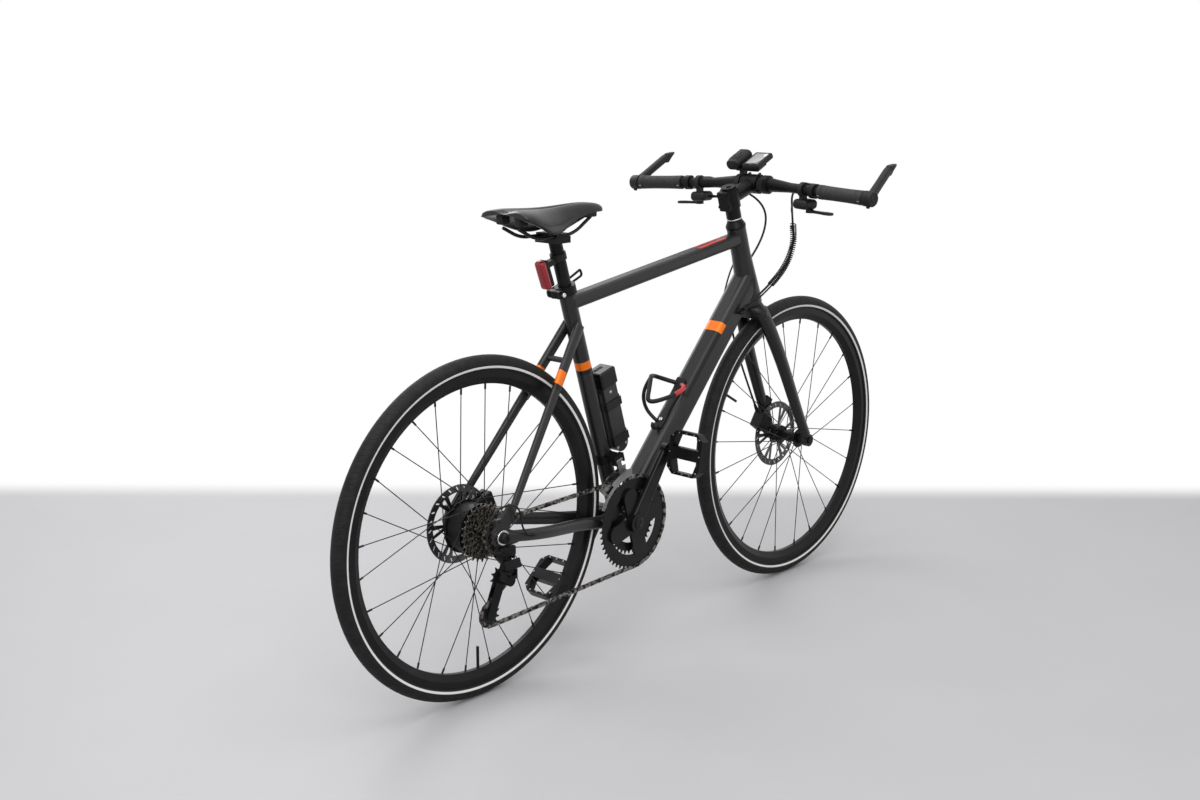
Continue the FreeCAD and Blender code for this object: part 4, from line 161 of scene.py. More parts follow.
def rampOf(tree, value, stops):
    node = addNode(tree, "ShaderNodeValToRGB")
    ramp = node.color_ramp
    ramp.elements[0].position, ramp.elements[0].color = stops[0][0], (*stops[0][1], 1)
    ramp.elements[1].position, ramp.elements[1].color = stops[-1][0], (*stops[-1][1], 1)
    for position, color in stops[1:-1]:
        ramp.elements.new(position).color = (*color, 1)
    tree.links.new(value, node.inputs["Fac"])
    return node.outputs["Color"]


def mathOf(tree, operation, first, second=None, third=None):
    node = addNode(tree, "ShaderNodeMath", operation=operation)
    for socket, value in zip(node.inputs, (first, second, third)):
        if value is None:
            continue
        if isinstance(value, (int, float)):
            socket.default_value = value
        else:
            tree.links.new(value, socket)
    return node.outputs["Value"]


def spanOf(tree, value, low, high, soft=0.0003):
    rise = addNode(tree, "ShaderNodeMapRange", interpolation_type="SMOOTHSTEP")
    fall = addNode(tree, "ShaderNodeMapRange", interpolation_type="SMOOTHSTEP")
    for node, middle, turn in ((rise, low, 1), (fall, high, -1)):
        node.inputs["From Min"].default_value = middle - soft * turn
        node.inputs["From Max"].default_value = middle + soft * turn
        tree.links.new(value, node.inputs["Value"])
    return mathOf(tree, "MULTIPLY", rise.outputs["Result"], fall.outputs["Result"])


def alongOf(tree, place, origin, direction):
    node = addNode(tree, "ShaderNodeVectorMath", operation="DOT_PRODUCT")
    tree.links.new(place, node.inputs[0])
    node.inputs[1].default_value = direction
    return mathOf(tree, "SUBTRACT", node.outputs["Value"], Vector(origin).dot(Vector(direction)))


def mixColor(tree, factor, first, second):
    node = addNode(tree, "ShaderNodeMix", data_type="RGBA")
    colorSockets = [socket for socket in node.inputs if socket.type == "RGBA"]
    for socket, value in zip(colorSockets, (first, second)):
        if isinstance(value, tuple):
            socket.default_value = (*value, 1)
        else:
            tree.links.new(value, socket)
    tree.links.new(factor, node.inputs["Factor"])
    return [socket for socket in node.outputs if socket.type == "RGBA"][0]


def bumpOf(tree, shader, height, strength, distance):
    node = addNode(tree, "ShaderNodeBump")
    node.inputs["Strength"].default_value = strength
    node.inputs["Distance"].default_value = distance
    tree.links.new(height, node.inputs["Height"])
    tree.links.new(node.outputs["Normal"], shader.inputs["Normal"])
    return node


def roughBetween(tree, shader, value, low, high):
    node = addNode(tree, "ShaderNodeMapRange")
    node.inputs["To Min"].default_value = low
    node.inputs["To Max"].default_value = high
    tree.links.new(value, node.inputs["Value"])
    tree.links.new(node.outputs["Result"], shader.inputs["Roughness"])


# finishes that are one colour with grain, wear and a little dust
plainFinishes = {
    "black_metal": {"dark": (0.006, 0.006, 0.0065), "pale": (0.015, 0.015, 0.016), "metallic": 0.6,
                    "rough": (0.34, 0.50), "grain": 900, "height": 0.00004},
    "black_plastic": {"dark": (0.0055, 0.0055, 0.006), "pale": (0.013, 0.013, 0.0135),
                      "rough": (0.42, 0.60), "grain": 1400, "height": 0.00008},
    "axle_steel": {"dark": (0.36, 0.36, 0.36), "pale": (0.55, 0.55, 0.55), "metallic": 1.0,
                   "rough": (0.22, 0.40), "grain": 500, "height": 0.00003},
    "chain_steel": {"dark": (0.016, 0.015, 0.014), "pale": (0.26, 0.245, 0.23), "metallic": 0.9,
                    "rough": (0.28, 0.55), "grain": 160, "height": 0.00005, "patch": 130,
                    "split": (0.44, 0.58)},
    "cog_steel": {"dark": (0.022, 0.020, 0.018), "pale": (0.30, 0.28, 0.25), "metallic": 0.95,
                  "rough": (0.26, 0.50), "grain": 120, "height": 0.00004, "patch": 240,
                  "split": (0.42, 0.58)},
    "lock_steel": {"dark": (0.040, 0.040, 0.042), "pale": (0.085, 0.085, 0.090), "metallic": 0.3,
                   "rough": (0.35, 0.55), "grain": 700, "height": 0.00006},
    "rail_steel": {"dark": (0.010, 0.010, 0.010), "pale": (0.024, 0.024, 0.024), "metallic": 0.7,
                   "rough": (0.25, 0.42), "grain": 400, "height": 0.00003, "coat": 0.1},
    "grip_rubber": {"dark": (0.0055, 0.0055, 0.006), "pale": (0.013, 0.013, 0.0135),
                    "rough": (0.55, 0.78), "grain": 1100, "height": 0.00015},
    "cable_cover": {"dark": (0.0045, 0.0045, 0.005), "pale": (0.011, 0.011, 0.0115),
                    "rough": (0.32, 0.48), "grain": 600, "height": 0.00004},
    "rim_black": {"dark": (0.0045, 0.0042, 0.0045), "pale": (0.0105, 0.0100, 0.0105), "metallic": 0.3,
                  "rough": (0.32, 0.48), "grain": 300, "height": 0.00003},
    "spoke_black": {"dark": (0.014, 0.014, 0.0145), "pale": (0.034, 0.034, 0.036), "metallic": 0.7,
                    "rough": (0.28, 0.42), "grain": 300, "height": 0.00001},
    "rotor_steel": {"dark": (0.07, 0.07, 0.072), "pale": (0.17, 0.17, 0.175), "metallic": 0.95,
                    "rough": (0.25, 0.42), "grain": 350, "height": 0.00002},
    "crank_black": {"dark": (0.0042, 0.0040, 0.0042), "pale": (0.0095, 0.0090, 0.0095), "metallic": 0.3,
                    "rough": (0.24, 0.40), "grain": 500, "height": 0.00003, "coat": 0.1},
    "changer_plate": {"dark": (0.20, 0.20, 0.20), "pale": (0.34, 0.34, 0.34), "metallic": 1.0,
                      "rough": (0.24, 0.40), "grain": 400, "height": 0.00002},
    "bright_metal": {"dark": (0.48, 0.48, 0.48), "pale": (0.72, 0.72, 0.72), "metallic": 1.0,
                     "rough": (0.16, 0.32), "grain": 400, "height": 0.00002},
    "red_lens": {"dark": (0.20, 0.004, 0.009), "pale": (0.38, 0.008, 0.014),
                 "rough": (0.10, 0.20), "grain": 200, "height": 0.0001, "coat": 0.6},
    "saddle_cover": {"dark": (0.0065, 0.0065, 0.007), "pale": (0.015, 0.015, 0.016),
                     "rough": (0.26, 0.40), "grain": 2200, "height": 0.00010, "coat": 0.15},
}


def plainFinish(name, look):
    material, tree, shader = newMaterial(name)
    place = objectPlace(tree)
    patches = noiseOf(tree, place, look.get("patch", 18), 4)
    low, high = look.get("split", (0.3, 0.7))
    grain = noiseOf(tree, place, look["grain"], 2)
    color = rampOf(tree, patches, [(low, look["dark"]), (high, look["pale"])])
    tree.links.new(color, shader.inputs["Base Color"])
    roughBetween(tree, shader, noiseOf(tree, place, 45, 3), *look["rough"])
    shader.inputs["Metallic"].default_value = look.get("metallic", 0.0)
    shader.inputs["Coat Weight"].default_value = look.get("coat", 0.0)
    shader.inputs["Specular IOR Level"].default_value = 0.24
    bumpOf(tree, shader, grain, 0.35, look["height"])
    return material


finishes = {name: plainFinish(name, look) for name, look in plainFinishes.items()}


# lacquer with fine flakes under a thin coat
def lacquerFinish(name, look):
    material, tree, shader = newMaterial(name)
    place = objectPlace(tree)
    flakes = noiseOf(tree, place, 2600, 1)
    base = rampOf(tree, flakes, [(0.35, look["dark"]), (0.75, look["pale"])])
    tree.links.new(base, shader.inputs["Base Color"])
    roughBetween(tree, shader, noiseOf(tree, place, 30, 4), 0.30, 0.42)
    shader.inputs["Metallic"].default_value = 0.35
    shader.inputs["Coat Weight"].default_value = 0.22
    shader.inputs["Coat Roughness"].default_value = 0.20
    shader.inputs["Specular IOR Level"].default_value = 0.30
    bumpOf(tree, shader, noiseOf(tree, place, 140, 3), 0.2, 0.00006)
    return material, tree, shader, place, base


# bands painted on the tubes: run along a tube, reach across it in the middle plane, distance to the side
bandColors = {"orange": (0.86, 0.170, 0.002), "black": (0.004, 0.004, 0.0045), "red": (0.60, 0.045, 0.035),
              "grey": (0.16, 0.155, 0.16)}
paintedBands = {
    "downBlack": {"start": downStart, "along": downAlong, "run": (0.300, 0.4735), "reach": (0.0150, 0.045),
                  "aside": (-0.01, 0.03), "color": "black"},
    "downOrange": {"start": downStart, "along": downAlong, "run": (0.4735, 0.4985), "reach": (0.0150, 0.045),
                   "aside": (-0.01, 0.03), "color": "orange"},
    "seatBlack": {"start": crankAxle, "along": seatUp, "run": (0.352, 0.3615), "reach": (-0.025, 0.025),
                  "aside": (-0.01, 0.03), "color": "black"},
    "seatOrange": {"start": crankAxle, "along": seatUp, "run": (0.3615, 0.3790), "reach": (-0.025, 0.025),
                   "aside": (-0.01, 0.03), "color": "orange"},
    "stayBlack": {"start": stayFoot, "along": stayAlong, "run": (0.262, 0.2735), "reach": (-0.03, 0.03),
                  "aside": (0.018, 0.07), "color": "black"},
    "stayOrange": {"start": stayFoot, "along": stayAlong, "run": (0.2735, 0.3035), "reach": (-0.03, 0.03),
                   "aside": (0.018, 0.07), "color": "orange"},
    "topStripe": {"start": topStart, "along": topAlong, "run": (0.408, 0.502), "reach": (0.0112, 0.03),
                  "aside": (0.0035, 0.0125), "color": "red"},
}


# a grey tag on the fork blades, and the black head of the folding lock
forkMarks = {
    "tag": {"start": Vector((0, 0, 0)), "along": Vector((0, 0, 1)), "run": (0.492, 0.509),
            "reach": (-0.441, -0.408), "aside": (0.060, 0.09), "color": "grey"},
}
lockMarks = {
    "head": {"start": crankAxle, "along": seatUp, "run": (0.2995, 0.40), "reach": (-0.1, 0.1),
             "aside": (-0.01, 0.05), "color": "black"},
}


def addBands(paint, bands):
    material, tree, shader, place, color = paint
    split = addNode(tree, "ShaderNodeSeparateXYZ")
    tree.links.new(place, split.inputs["Vector"])
    aside = mathOf(tree, "ABSOLUTE", split.outputs["Y"])
    for band in bands.values():
        across = Vector((-band["along"].z, 0, band["along"].x))
        run = spanOf(tree, alongOf(tree, place, band["start"], band["along"]), *band["run"])
        reach = spanOf(tree, alongOf(tree, place, band["start"], across), *band["reach"])
        sides = spanOf(tree, aside, *band["aside"])
        mask = mathOf(tree, "MULTIPLY", mathOf(tree, "MULTIPLY", run, reach), sides)
        color = mixColor(tree, mask, color, bandColors[band["color"]])
    tree.links.new(color, shader.inputs["Base Color"])
    return material


paints = {
    "frame_paint": {"dark": (0.0165, 0.0152, 0.0162), "pale": (0.0285, 0.0265, 0.0280),
                    "bands": paintedBands},
    "fork_paint": {"dark": (0.0062, 0.0057, 0.0062), "pale": (0.0140, 0.0130, 0.0140), "bands": forkMarks},
    "lock_paint": {"dark": (0.026, 0.025, 0.0265), "pale": (0.052, 0.050, 0.053), "bands": lockMarks},
}
for paintName, paintLook in paints.items():
    finishes[paintName] = addBands(lacquerFinish(paintName, paintLook), paintLook["bands"])


# tyre rubber with a pale stripe on each sidewall and a cut tread
tyreLook = {
    "stripeInner": 0.3205,
    "stripeOuter": 0.3250,
    "stripe": (0.78, 0.78, 0.76),
    "dark": (0.0045, 0.0043, 0.0043),
    "pale": (0.013, 0.0125, 0.0125),
    "grooves": 190,
    "slant": 260.0,
    "treadHalf": 0.0145,
}


def tyreFinish(name, look, axle):
    material, tree, shader = newMaterial(name)
    place = objectPlace(tree)
    split = addNode(tree, "ShaderNodeSeparateXYZ")
    tree.links.new(place, split.inputs["Vector"])
    ahead = mathOf(tree, "SUBTRACT", split.outputs["X"], axle.x)
    above = mathOf(tree, "SUBTRACT", split.outputs["Z"], axle.z)
    reach = mathOf(tree, "SQRT", mathOf(tree, "ADD", mathOf(tree, "MULTIPLY", ahead, ahead),
                                        mathOf(tree, "MULTIPLY", above, above)))
    turn = mathOf(tree, "ARCTAN2", above, ahead)
    aside = mathOf(tree, "ABSOLUTE", split.outputs["Y"])
    wave = mathOf(tree, "SINE", mathOf(tree, "ADD", mathOf(tree, "MULTIPLY", turn, look["grooves"]),
                                       mathOf(tree, "MULTIPLY", aside, look["slant"])))
    cuts = spanOf(tree, wave, 0.55, 2.0, 0.25)
    shoulder = spanOf(tree, aside, 0.004, look["treadHalf"], 0.0006)
    tread = mathOf(tree, "MULTIPLY", cuts, shoulder)
    dust = rampOf(tree, noiseOf(tree, place, 60, 5), [(0.35, look["dark"]), (0.75, look["pale"])])
    outer = spanOf(tree, aside, 0.008, 0.05, 0.0004)
    ring = spanOf(tree, reach, look["stripeInner"], look["stripeOuter"])
    stripe = mathOf(tree, "MULTIPLY", ring, outer)
    tree.links.new(mixColor(tree, stripe, dust, look["stripe"]), shader.inputs["Base Color"])
    roughBetween(tree, shader, noiseOf(tree, place, 200, 3), 0.55, 0.75)
    shader.inputs["Specular IOR Level"].default_value = 0.25
    height = mathOf(tree, "SUBTRACT", mathOf(tree, "MULTIPLY", noiseOf(tree, place, 900, 3), 0.25), tread)
    bumpOf(tree, shader, height, 0.8, 0.0006)
    return material


tyreFinishes = {
    "front_tyre": tyreFinish("frontTyreRubber", tyreLook, frontAxle),
    "rear_tyre": tyreFinish("rearTyreRubber", tyreLook, rearAxle),
}

nodeFinishes = {**tyreFinishes, "front_derailleur_cage": finishes["changer_plate"],
                "folding_lock": finishes["lock_paint"]}

for subpart in frame["record"]["subparts"]:
    nodeName = subpart["node"]
    finish = nodeFinishes.get(nodeName) or finishes[subpart["material_slot"]]
    nodes[nodeName].material_slots[0].material = finish
print("materials set on", len(nodes), "nodes")


# shared modelling steps
def frameAt(origin, along, ahead=(1, 0, 0)):
    zDir = Vector(along).normalized()
    xDir = (Vector(ahead) - zDir * Vector(ahead).dot(zDir)).normalized()
    yDir = zDir.cross(xDir)
    return Matrix.Translation(Vector(origin)) @ Matrix((xDir, yDir, zDir)).transposed().to_4x4()


def inEdit(piece):
    onlyActive(piece)
    bpy.ops.object.mode_set(mode="EDIT")
    bpy.ops.mesh.select_all(action="SELECT")


def outOfEdit():
    bpy.ops.mesh.select_all(action="SELECT")
    bpy.ops.mesh.normals_make_consistent(inside=False)
    bpy.ops.object.mode_set(mode="OBJECT")


def setDown(piece, place):
    piece.matrix_world = place
    onlyActive(piece)
    bpy.ops.object.transform_apply(location=True, rotation=True, scale=True)
    return piece


def turnPiece(name, stations, place, sides=32):  # stations: height, radius
    height, radius = stations[0]
    bpy.ops.mesh.primitive_circle_add(vertices=sides, radius=radius, fill_type="NGON",
                                      location=(0, 0, height))
    piece = pieceFrom(name)
    bpy.ops.object.transform_apply(location=True)
    inEdit(piece)
    for nextHeight, nextRadius in stations[1:]:
        bpy.ops.mesh.extrude_region_move(TRANSFORM_OT_translate={"value": (0, 0, nextHeight - height)})
        bpy.ops.transform.resize(value=(nextRadius / radius, nextRadius / radius, 1))
        height, radius = nextHeight, nextRadius
    outOfEdit()
    return setDown(piece, place)


def blockPiece(name, size, place, bevel, segments=3):
    bpy.ops.mesh.primitive_cube_add(size=1)
    piece = pieceFrom(name)
    piece.scale = size
    bpy.ops.object.transform_apply(scale=True)
    inEdit(piece)
    bpy.ops.mesh.bevel(offset=bevel, segments=segments, affect="EDGES")
    outOfEdit()
    return setDown(piece, place)


def drawnPiece(name, stations, place, corner=0.0, sides=24):  # stations: height, shiftX, shiftY, halfX, halfY
    height, shiftX, shiftY, halfX, halfY = stations[0]
    if corner:
        bpy.ops.mesh.primitive_plane_add(size=2)
    else:
        bpy.ops.mesh.primitive_circle_add(vertices=sides, radius=1, fill_type="NGON")
    piece = pieceFrom(name)
    piece.scale = (halfX, halfY, 1)
    piece.location = (shiftX, shiftY, height)
    bpy.ops.object.transform_apply(location=True, scale=True)
    inEdit(piece)
    if corner:
        bpy.ops.mesh.bevel(offset=corner, segments=4, affect="VERTICES")
        bpy.ops.mesh.select_all(action="SELECT")
    for station in stations[1:]:
        step = (station[1] - shiftX, station[2] - shiftY, station[0] - height)
        bpy.ops.mesh.extrude_region_move(TRANSFORM_OT_translate={"value": step})
        bpy.ops.transform.resize(value=(station[3] / halfX, station[4] / halfY, 1))
        height, shiftX, shiftY, halfX, halfY = station
    outOfEdit()
    return setDown(piece, place)


def splineOf(name, points, cyclic=False):
    curve = bpy.data.curves.new(name, "CURVE")
    curve.dimensions = "3D"
    spline = curve.splines.new("NURBS")
    spline.points.add(len(points) - 1)
    for point, spot in zip(spline.points, points):
        point.co = (*spot, 1)
    spline.order_u = 3
    spline.use_endpoint_u = not cyclic
    spline.use_cyclic_u = cyclic
    spline.resolution_u = 16
    line = bpy.data.objects.new(name, curve)
    bpy.context.collection.objects.link(line)
    return line


def pathOf(line):
    bare = bpy.data.meshes.new_from_object(line)
    points = [vertex.co.copy() for vertex in bare.vertices]
    bpy.data.meshes.remove(bare)
    return points


def tubeOn(line, radius, roundness=4):
    line.data.bevel_depth = radius
    line.data.bevel_resolution = roundness
    line.data.use_fill_caps = True
    onlyActive(line)
    bpy.ops.object.convert(target="MESH")
    return bpy.context.object


def wirePiece(name, points, radius, cyclic=False, roundness=3):
    piece = tubeOn(splineOf(name, points, cyclic), radius, roundness)
    piece.name = name
    return piece


def joinPieces(name, pieces):
    bpy.ops.object.select_all(action="DESELECT")
    for piece in pieces:
        piece.select_set(True)
    bpy.context.view_layer.objects.active = pieces[0]
    bpy.ops.object.join()
    pieces[0].name = name
    pieces[0].data.name = name
    return pieces[0]


def dressJoined(name, pieces, body, slotName, material=None, smoothAngle=35):
    return dressPiece(joinPieces(name, pieces), body, slotName, material, smoothAngle)


def copyTo(model, name, place):
    twin = model.copy()
    twin.data = model.data.copy()
    twin.name = name
    bpy.context.collection.objects.link(twin)
    return setDown(twin, place)


def facesWhere(piece, test):
    onlyActive(piece)
    bpy.ops.object.mode_set(mode="EDIT")
    bpy.ops.mesh.select_mode(type="FACE")
    bpy.ops.mesh.select_all(action="DESELECT")
    bpy.ops.object.mode_set(mode="OBJECT")
    for polygon in piece.data.polygons:
        polygon.select = test(polygon)
    bpy.ops.object.mode_set(mode="EDIT")


# bright bolts with a socket in the head, as shares of the head's height and radius
socketBolt = [(0, 1), (0.78, 1), (1, 0.84), (1, 0.52), (0.55, 0.52)]


def boltRow(name, radius, height, spots, body):
    stations = [(up * height, out * radius) for up, out in socketBolt]
    bolts = [turnPiece(name, stations, frameAt(spot, axis), 18) for spot, axis in spots]
    dressJoined(name, bolts, body, "bright_metal")


# brake hoses and gear cables, on the same route points as the solids
cordRoutes = {
    "rearBrakeHose": {
        "radius": 0.0025, "bend": ((0.430, -0.055, 0.900), (0.330, -0.045, 0.720)),
        "points": [(0.3718, -0.1227, 0.9612), (0.3751, -0.0879, 0.9628), (0.4240, -0.0570, 0.8950),
                   (0.4290, -0.0625, 0.8180), (0.3680, -0.0550, 0.7480), (0.2785, -0.0336, 0.6909)],
    },
    "rearShiftCable": {
        "radius": 0.0020, "bend": ((0.412, -0.068, 0.880), (0.320, -0.055, 0.705)),
        "points": [(0.3553, -0.1280, 0.9315), (0.3580, -0.0982, 0.9329), (0.4180, -0.0640, 0.8850),
                   (0.4245, -0.0660, 0.8150), (0.3580, -0.0605, 0.7365), (0.2695, -0.0331, 0.6809)],
    },
    "frontShiftCable": {
        "radius": 0.0020, "bend": ((0.398, 0.064, 0.885), (0.320, 0.048, 0.745)),
        "points": [(0.3553, 0.1280, 0.9315), (0.3580, 0.0982, 0.9329), (0.3980, 0.0640, 0.8850),
                   (0.3900, 0.0600, 0.8100), (0.3300, 0.0520, 0.7600), (0.2889, 0.0331, 0.7030)],
    },
    "frontBrakeHose": {
        "radius": 0.0025, "bend": None,
        "points": [(0.3718, 0.1227, 0.9612), (0.3751, 0.0879, 0.9628), (0.4460, 0.0340, 0.9150),
                   (0.4400, 0.0300, 0.8400), (0.3620, 0.0520, 0.7420), (0.3500, 0.0630, 0.6400),
                   (0.4180, 0.0630, 0.5000), (0.4490, 0.0475, 0.4130)],
    },
}
cordPaths = {}
ferrules = {"steering": [], "frame": []}


def lengthOf(path):
    return sum((after - before).length for before, after in zip(path, path[1:]))


def ferruleAt(name, spot, heading, radius):
    return turnPiece(name, [(-0.001, radius * 1.05), (0.0, radius * 1.75), (0.009, radius * 1.75),
                            (0.010, radius * 1.5), (0.016, radius * 1.35), (0.018, radius * 1.08)],
                     frameAt(spot, heading, (0.3, 0.5, 0.8)), 20)


for cordName, route in cordRoutes.items():
    line = splineOf(cordName, route["points"])
    path = pathOf(line)
    cordPaths[cordName] = path
    hose = tubeOn(line, route["radius"])
    dressPiece(hose, None, "cable_cover", smoothAngle=60)
    if route["bend"]:
        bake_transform(hose)
    else:
        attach(hose, "steering")
    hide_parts("control_cables")
    ferrules["steering"].append(ferruleAt(cordName + "Ferrule", path[0], path[1] - path[0], route["radius"]))
    farBody = "frame" if route["bend"] else "steering"
    ferrules[farBody].append(ferruleAt(cordName + "End", path[-1], path[-2] - path[-1], route["radius"]))
for body, rings in ferrules.items():
    dressJoined(body + "Ferrules", rings, body, "black_metal")
print("hoses laid", {name: round(lengthOf(path), 3) for name, path in cordPaths.items()})


# spiral wrap that holds the two right-hand cords together
wrapLook = {"radius": 0.0070, "wire": 0.0013, "start": 0.32, "end": 0.74, "turns": 34, "steps": 12}


def pointAlong(path, share):
    target = share * lengthOf(path)
    for before, after in zip(path, path[1:]):
        step = (after - before).length
        if target <= step:
            return before.lerp(after, target / step), (after - before).normalized()
        target -= step
    return path[-1], (path[-1] - path[-2]).normalized()


def addWrap(look):
    spots = []
    count = look["turns"] * look["steps"]
    for index in range(count + 1):
        share = look["start"] + (look["end"] - look["start"]) * index / count
        first, heading = pointAlong(cordPaths["rearBrakeHose"], share)
        second, _ = pointAlong(cordPaths["rearShiftCable"], share)
        middle = (first + second) / 2
        outward = Vector((0, 1, 0)) - heading * heading.y
        outward.normalize()
        across = heading.cross(outward)
        turn = 2 * math.pi * index / look["steps"]
        spots.append(middle + (outward * math.cos(turn) + across * math.sin(turn)) * look["radius"])
    wrap = wirePiece("spiralWrap", spots, look["wire"], roundness=1)
    dressPiece(wrap, None, "cable_cover", finishes["black_plastic"], 60)
    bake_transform(wrap)


addWrap(wrapLook)


# saddle: two padded lobes with a channel between them and a cover drawn in under the edge
saddleLook = {
    "nose": -0.1632,
    "length": 0.2708,
    "base": 0.92984,
    "sides": 24,
    "stations": [  # share of the length, half width, top, channel depth, side depth
        (0.000, 0.0080, 0.0200, 0.0000, 0.0080),
        (0.020, 0.0150, 0.0250, 0.0000, 0.0135),
        (0.080, 0.0190, 0.0300, 0.0000, 0.0180),
        (0.180, 0.0210, 0.0325, 0.0010, 0.0220),
        (0.300, 0.0230, 0.0322, 0.0030, 0.0290),
        (0.420, 0.0280, 0.0305, 0.0050, 0.0410),
        (0.530, 0.0370, 0.0290, 0.0060, 0.0520),
        (0.640, 0.0480, 0.0285, 0.0066, 0.0520),
        (0.760, 0.0600, 0.0295, 0.0060, 0.0430),
        (0.870, 0.0680, 0.0310, 0.0055, 0.0290),
        (0.950, 0.0680, 0.0310, 0.0050, 0.0230),
        (0.985, 0.0640, 0.0295, 0.0045, 0.0170),
        (1.000, 0.0590, 0.0275, 0.0040, 0.0110),
    ],
    "section": [  # share of the half width, share of the side depth below the top
        (0.00, 0.00), (0.13, 0.00), (0.30, -0.01), (0.50, 0.03), (0.70, 0.12), (0.87, 0.30), (0.97, 0.55),
        (1.00, 0.80), (0.95, 0.97), (0.85, 1.00), (0.73, 0.80), (0.42, 0.60), (0.00, 0.56),
    ],
    "channelShare": 0.24,
    "notch": {10: 0.004, 11: 0.012, 12: 0.016},  # how far the middle of the tail is drawn in, by station
    "notchShare": 0.42,
    "piping": {"wire": 0.0011, "wide": 0.985, "down": 0.86},
    "railBase": 0.92134,
    "sockets": [  # where the rails end: place, size
        ((-0.2010, 0, 0.0205), (0.034, 0.028, 0.0200)),
        ((-0.4080, 0.0255, 0.0185), (0.024, 0.017, 0.0200)),
        ((-0.4080, -0.0255, 0.0185), (0.024, 0.017, 0.0200)),
    ],
    "socketEdge": 0.0035,
}


def addSaddle(look):
    bpy.ops.mesh.primitive_circle_add(vertices=look["sides"], radius=1, fill_type="NGON")
    saddle = pieceFrom("saddlePad")
    inEdit(saddle)
    for _ in look["stations"][1:]:
        bpy.ops.mesh.extrude_region_move(TRANSFORM_OT_translate={"value": (0, 0, 1)})
    outOfEdit()
    half = look["sides"] // 2
    for vertex in saddle.data.vertices:
        station = round(vertex.co.z)
        share, wide, top, channel, depth = look["stations"][station]
        step = round(math.atan2(vertex.co.y, vertex.co.x) * half / math.pi) % look["sides"]
        side = 1 if step <= half else -1
        out, down = look["section"][min(step, look["sides"] - step)]
        dip = channel * max(0.0, 1 - (out / look["channelShare"]) ** 2) if down < 0.5 else 0.0
        notch = look["notch"].get(station, 0.0) * max(0.0, 1 - (out / look["notchShare"]) ** 2)
        vertex.co = (look["nose"] - share * look["length"] + notch, side * out * wide,
                     look["base"] + top - dip - down * depth)
    applyModifier(saddle, "SUBSURF", levels=2, render_levels=2)
    inEdit(saddle)
    outOfEdit()
    dressPiece(saddle, "seat", "saddle_cover", smoothAngle=70)
    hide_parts("saddle")


def addSaddleTrim(look):
    piping = look["piping"]
    seams = []
    for side in (1, -1):
        route = [(look["nose"] - share * look["length"], side * wide * piping["wide"],
                  look["base"] + top - piping["down"] * depth)
                 for share, wide, top, _, depth in look["stations"][2:-1]]
        seams.append(wirePiece("saddlePiping", route, piping["wire"], roundness=2))
    dressJoined("saddlePiping", seams, "seat", "saddle_cover", smoothAngle=60)
    base = Vector((0, 0, look["railBase"]))
    sockets = [blockPiece("railSocket", size, Matrix.Translation(base + Vector(spot)), look["socketEdge"])
               for spot, size in look["sockets"]]
    dressJoined("railSockets", sockets, "seat", "black_plastic")


addSaddle(saddleLook)
addSaddleTrim(saddleLook)
print("saddle shaped")


# seat clamp lever: an open loop on a round cam
seatTop = Vector((-0.26434, 0, 0.79819))
leverLook = {
    "rise": -0.008,
    "wire": 0.0026,
    "loop": [(-0.020, 0.0262, -0.0035), (0.004, 0.0282, -0.0062), (0.040, 0.0282, -0.0078),
             (0.070, 0.0266, -0.0045), (0.0765, 0.0262, -0.0030), (0.0750, 0.0262, 0.0100),
             (0.0690, 0.0266, 0.0085), (0.040, 0.0284, 0.0030), (0.004, 0.0286, 0.0025),
             (-0.020, 0.0268, 0.0035)],
    "cam": [(-0.0052, 0.0050), (-0.0048, 0.0066), (0.0048, 0.0066), (0.0052, 0.0050)],
    "camSpot": (-0.025, 0.021),
    "cheek": (0.017, 0.0065, 0.0098),
    "cheekSpot": (-0.0185, 0.0250),
    "cheekEdge": 0.0022,
    "nut": (0.0048, 0.003),
    "nutSpot": (-0.025, -0.018),
}


def onSeat(fore, aside, rise):
    return seatTop + seatFore * fore + Vector((0, aside, 0)) + seatUp * rise


def addSeatLever(look):
    rise = look["rise"]
    loop = wirePiece("seatLever", [onSeat(fore, aside, rise + up) for fore, aside, up in look["loop"]],
                     look["wire"], cyclic=True)
    camPlace = frameAt(onSeat(*look["camSpot"], rise), seatUp, seatFore)
    cam = turnPiece("seatLeverCam", look["cam"], camPlace, 28)
    cheekPlace = frameAt(onSeat(*look["cheekSpot"], rise), seatUp, seatFore)
    cheek = blockPiece("seatLeverCheek", look["cheek"], cheekPlace, look["cheekEdge"])
    lever = dressJoined("seatLever", [cam, cheek, loop], "seat_lever", "black_metal")
    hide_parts("seat_clamp_lever")
    boltRow("seatClampNut", *look["nut"], [(onSeat(*look["nutSpot"], rise), (0, -1, 0))], "frame")


addSeatLever(leverLook)


# rear light: ribbed red lens in a black shell
lampLook = {
    "middle": seatTop - seatFore * 0.047 + seatUp * 0.044,
    "tilt": -3.5,
    "shell": (0.0090, 0.02346, 0.05625),
    "shellAhead": 0.00675,
    "shellEdge": 0.0040,
    "lens": (0.0162, 0.02499, 0.0625),
    "lensAhead": -0.0030375,
    "lensEdge": 0.0078,
    "rib": (0.0016, 0.01071, 0.0022),
    "ribAhead": -0.011025,
    "ribEdge": 0.0005,
    "ribs": [-0.0203 + 0.0058 * step for step in range(8)],
}


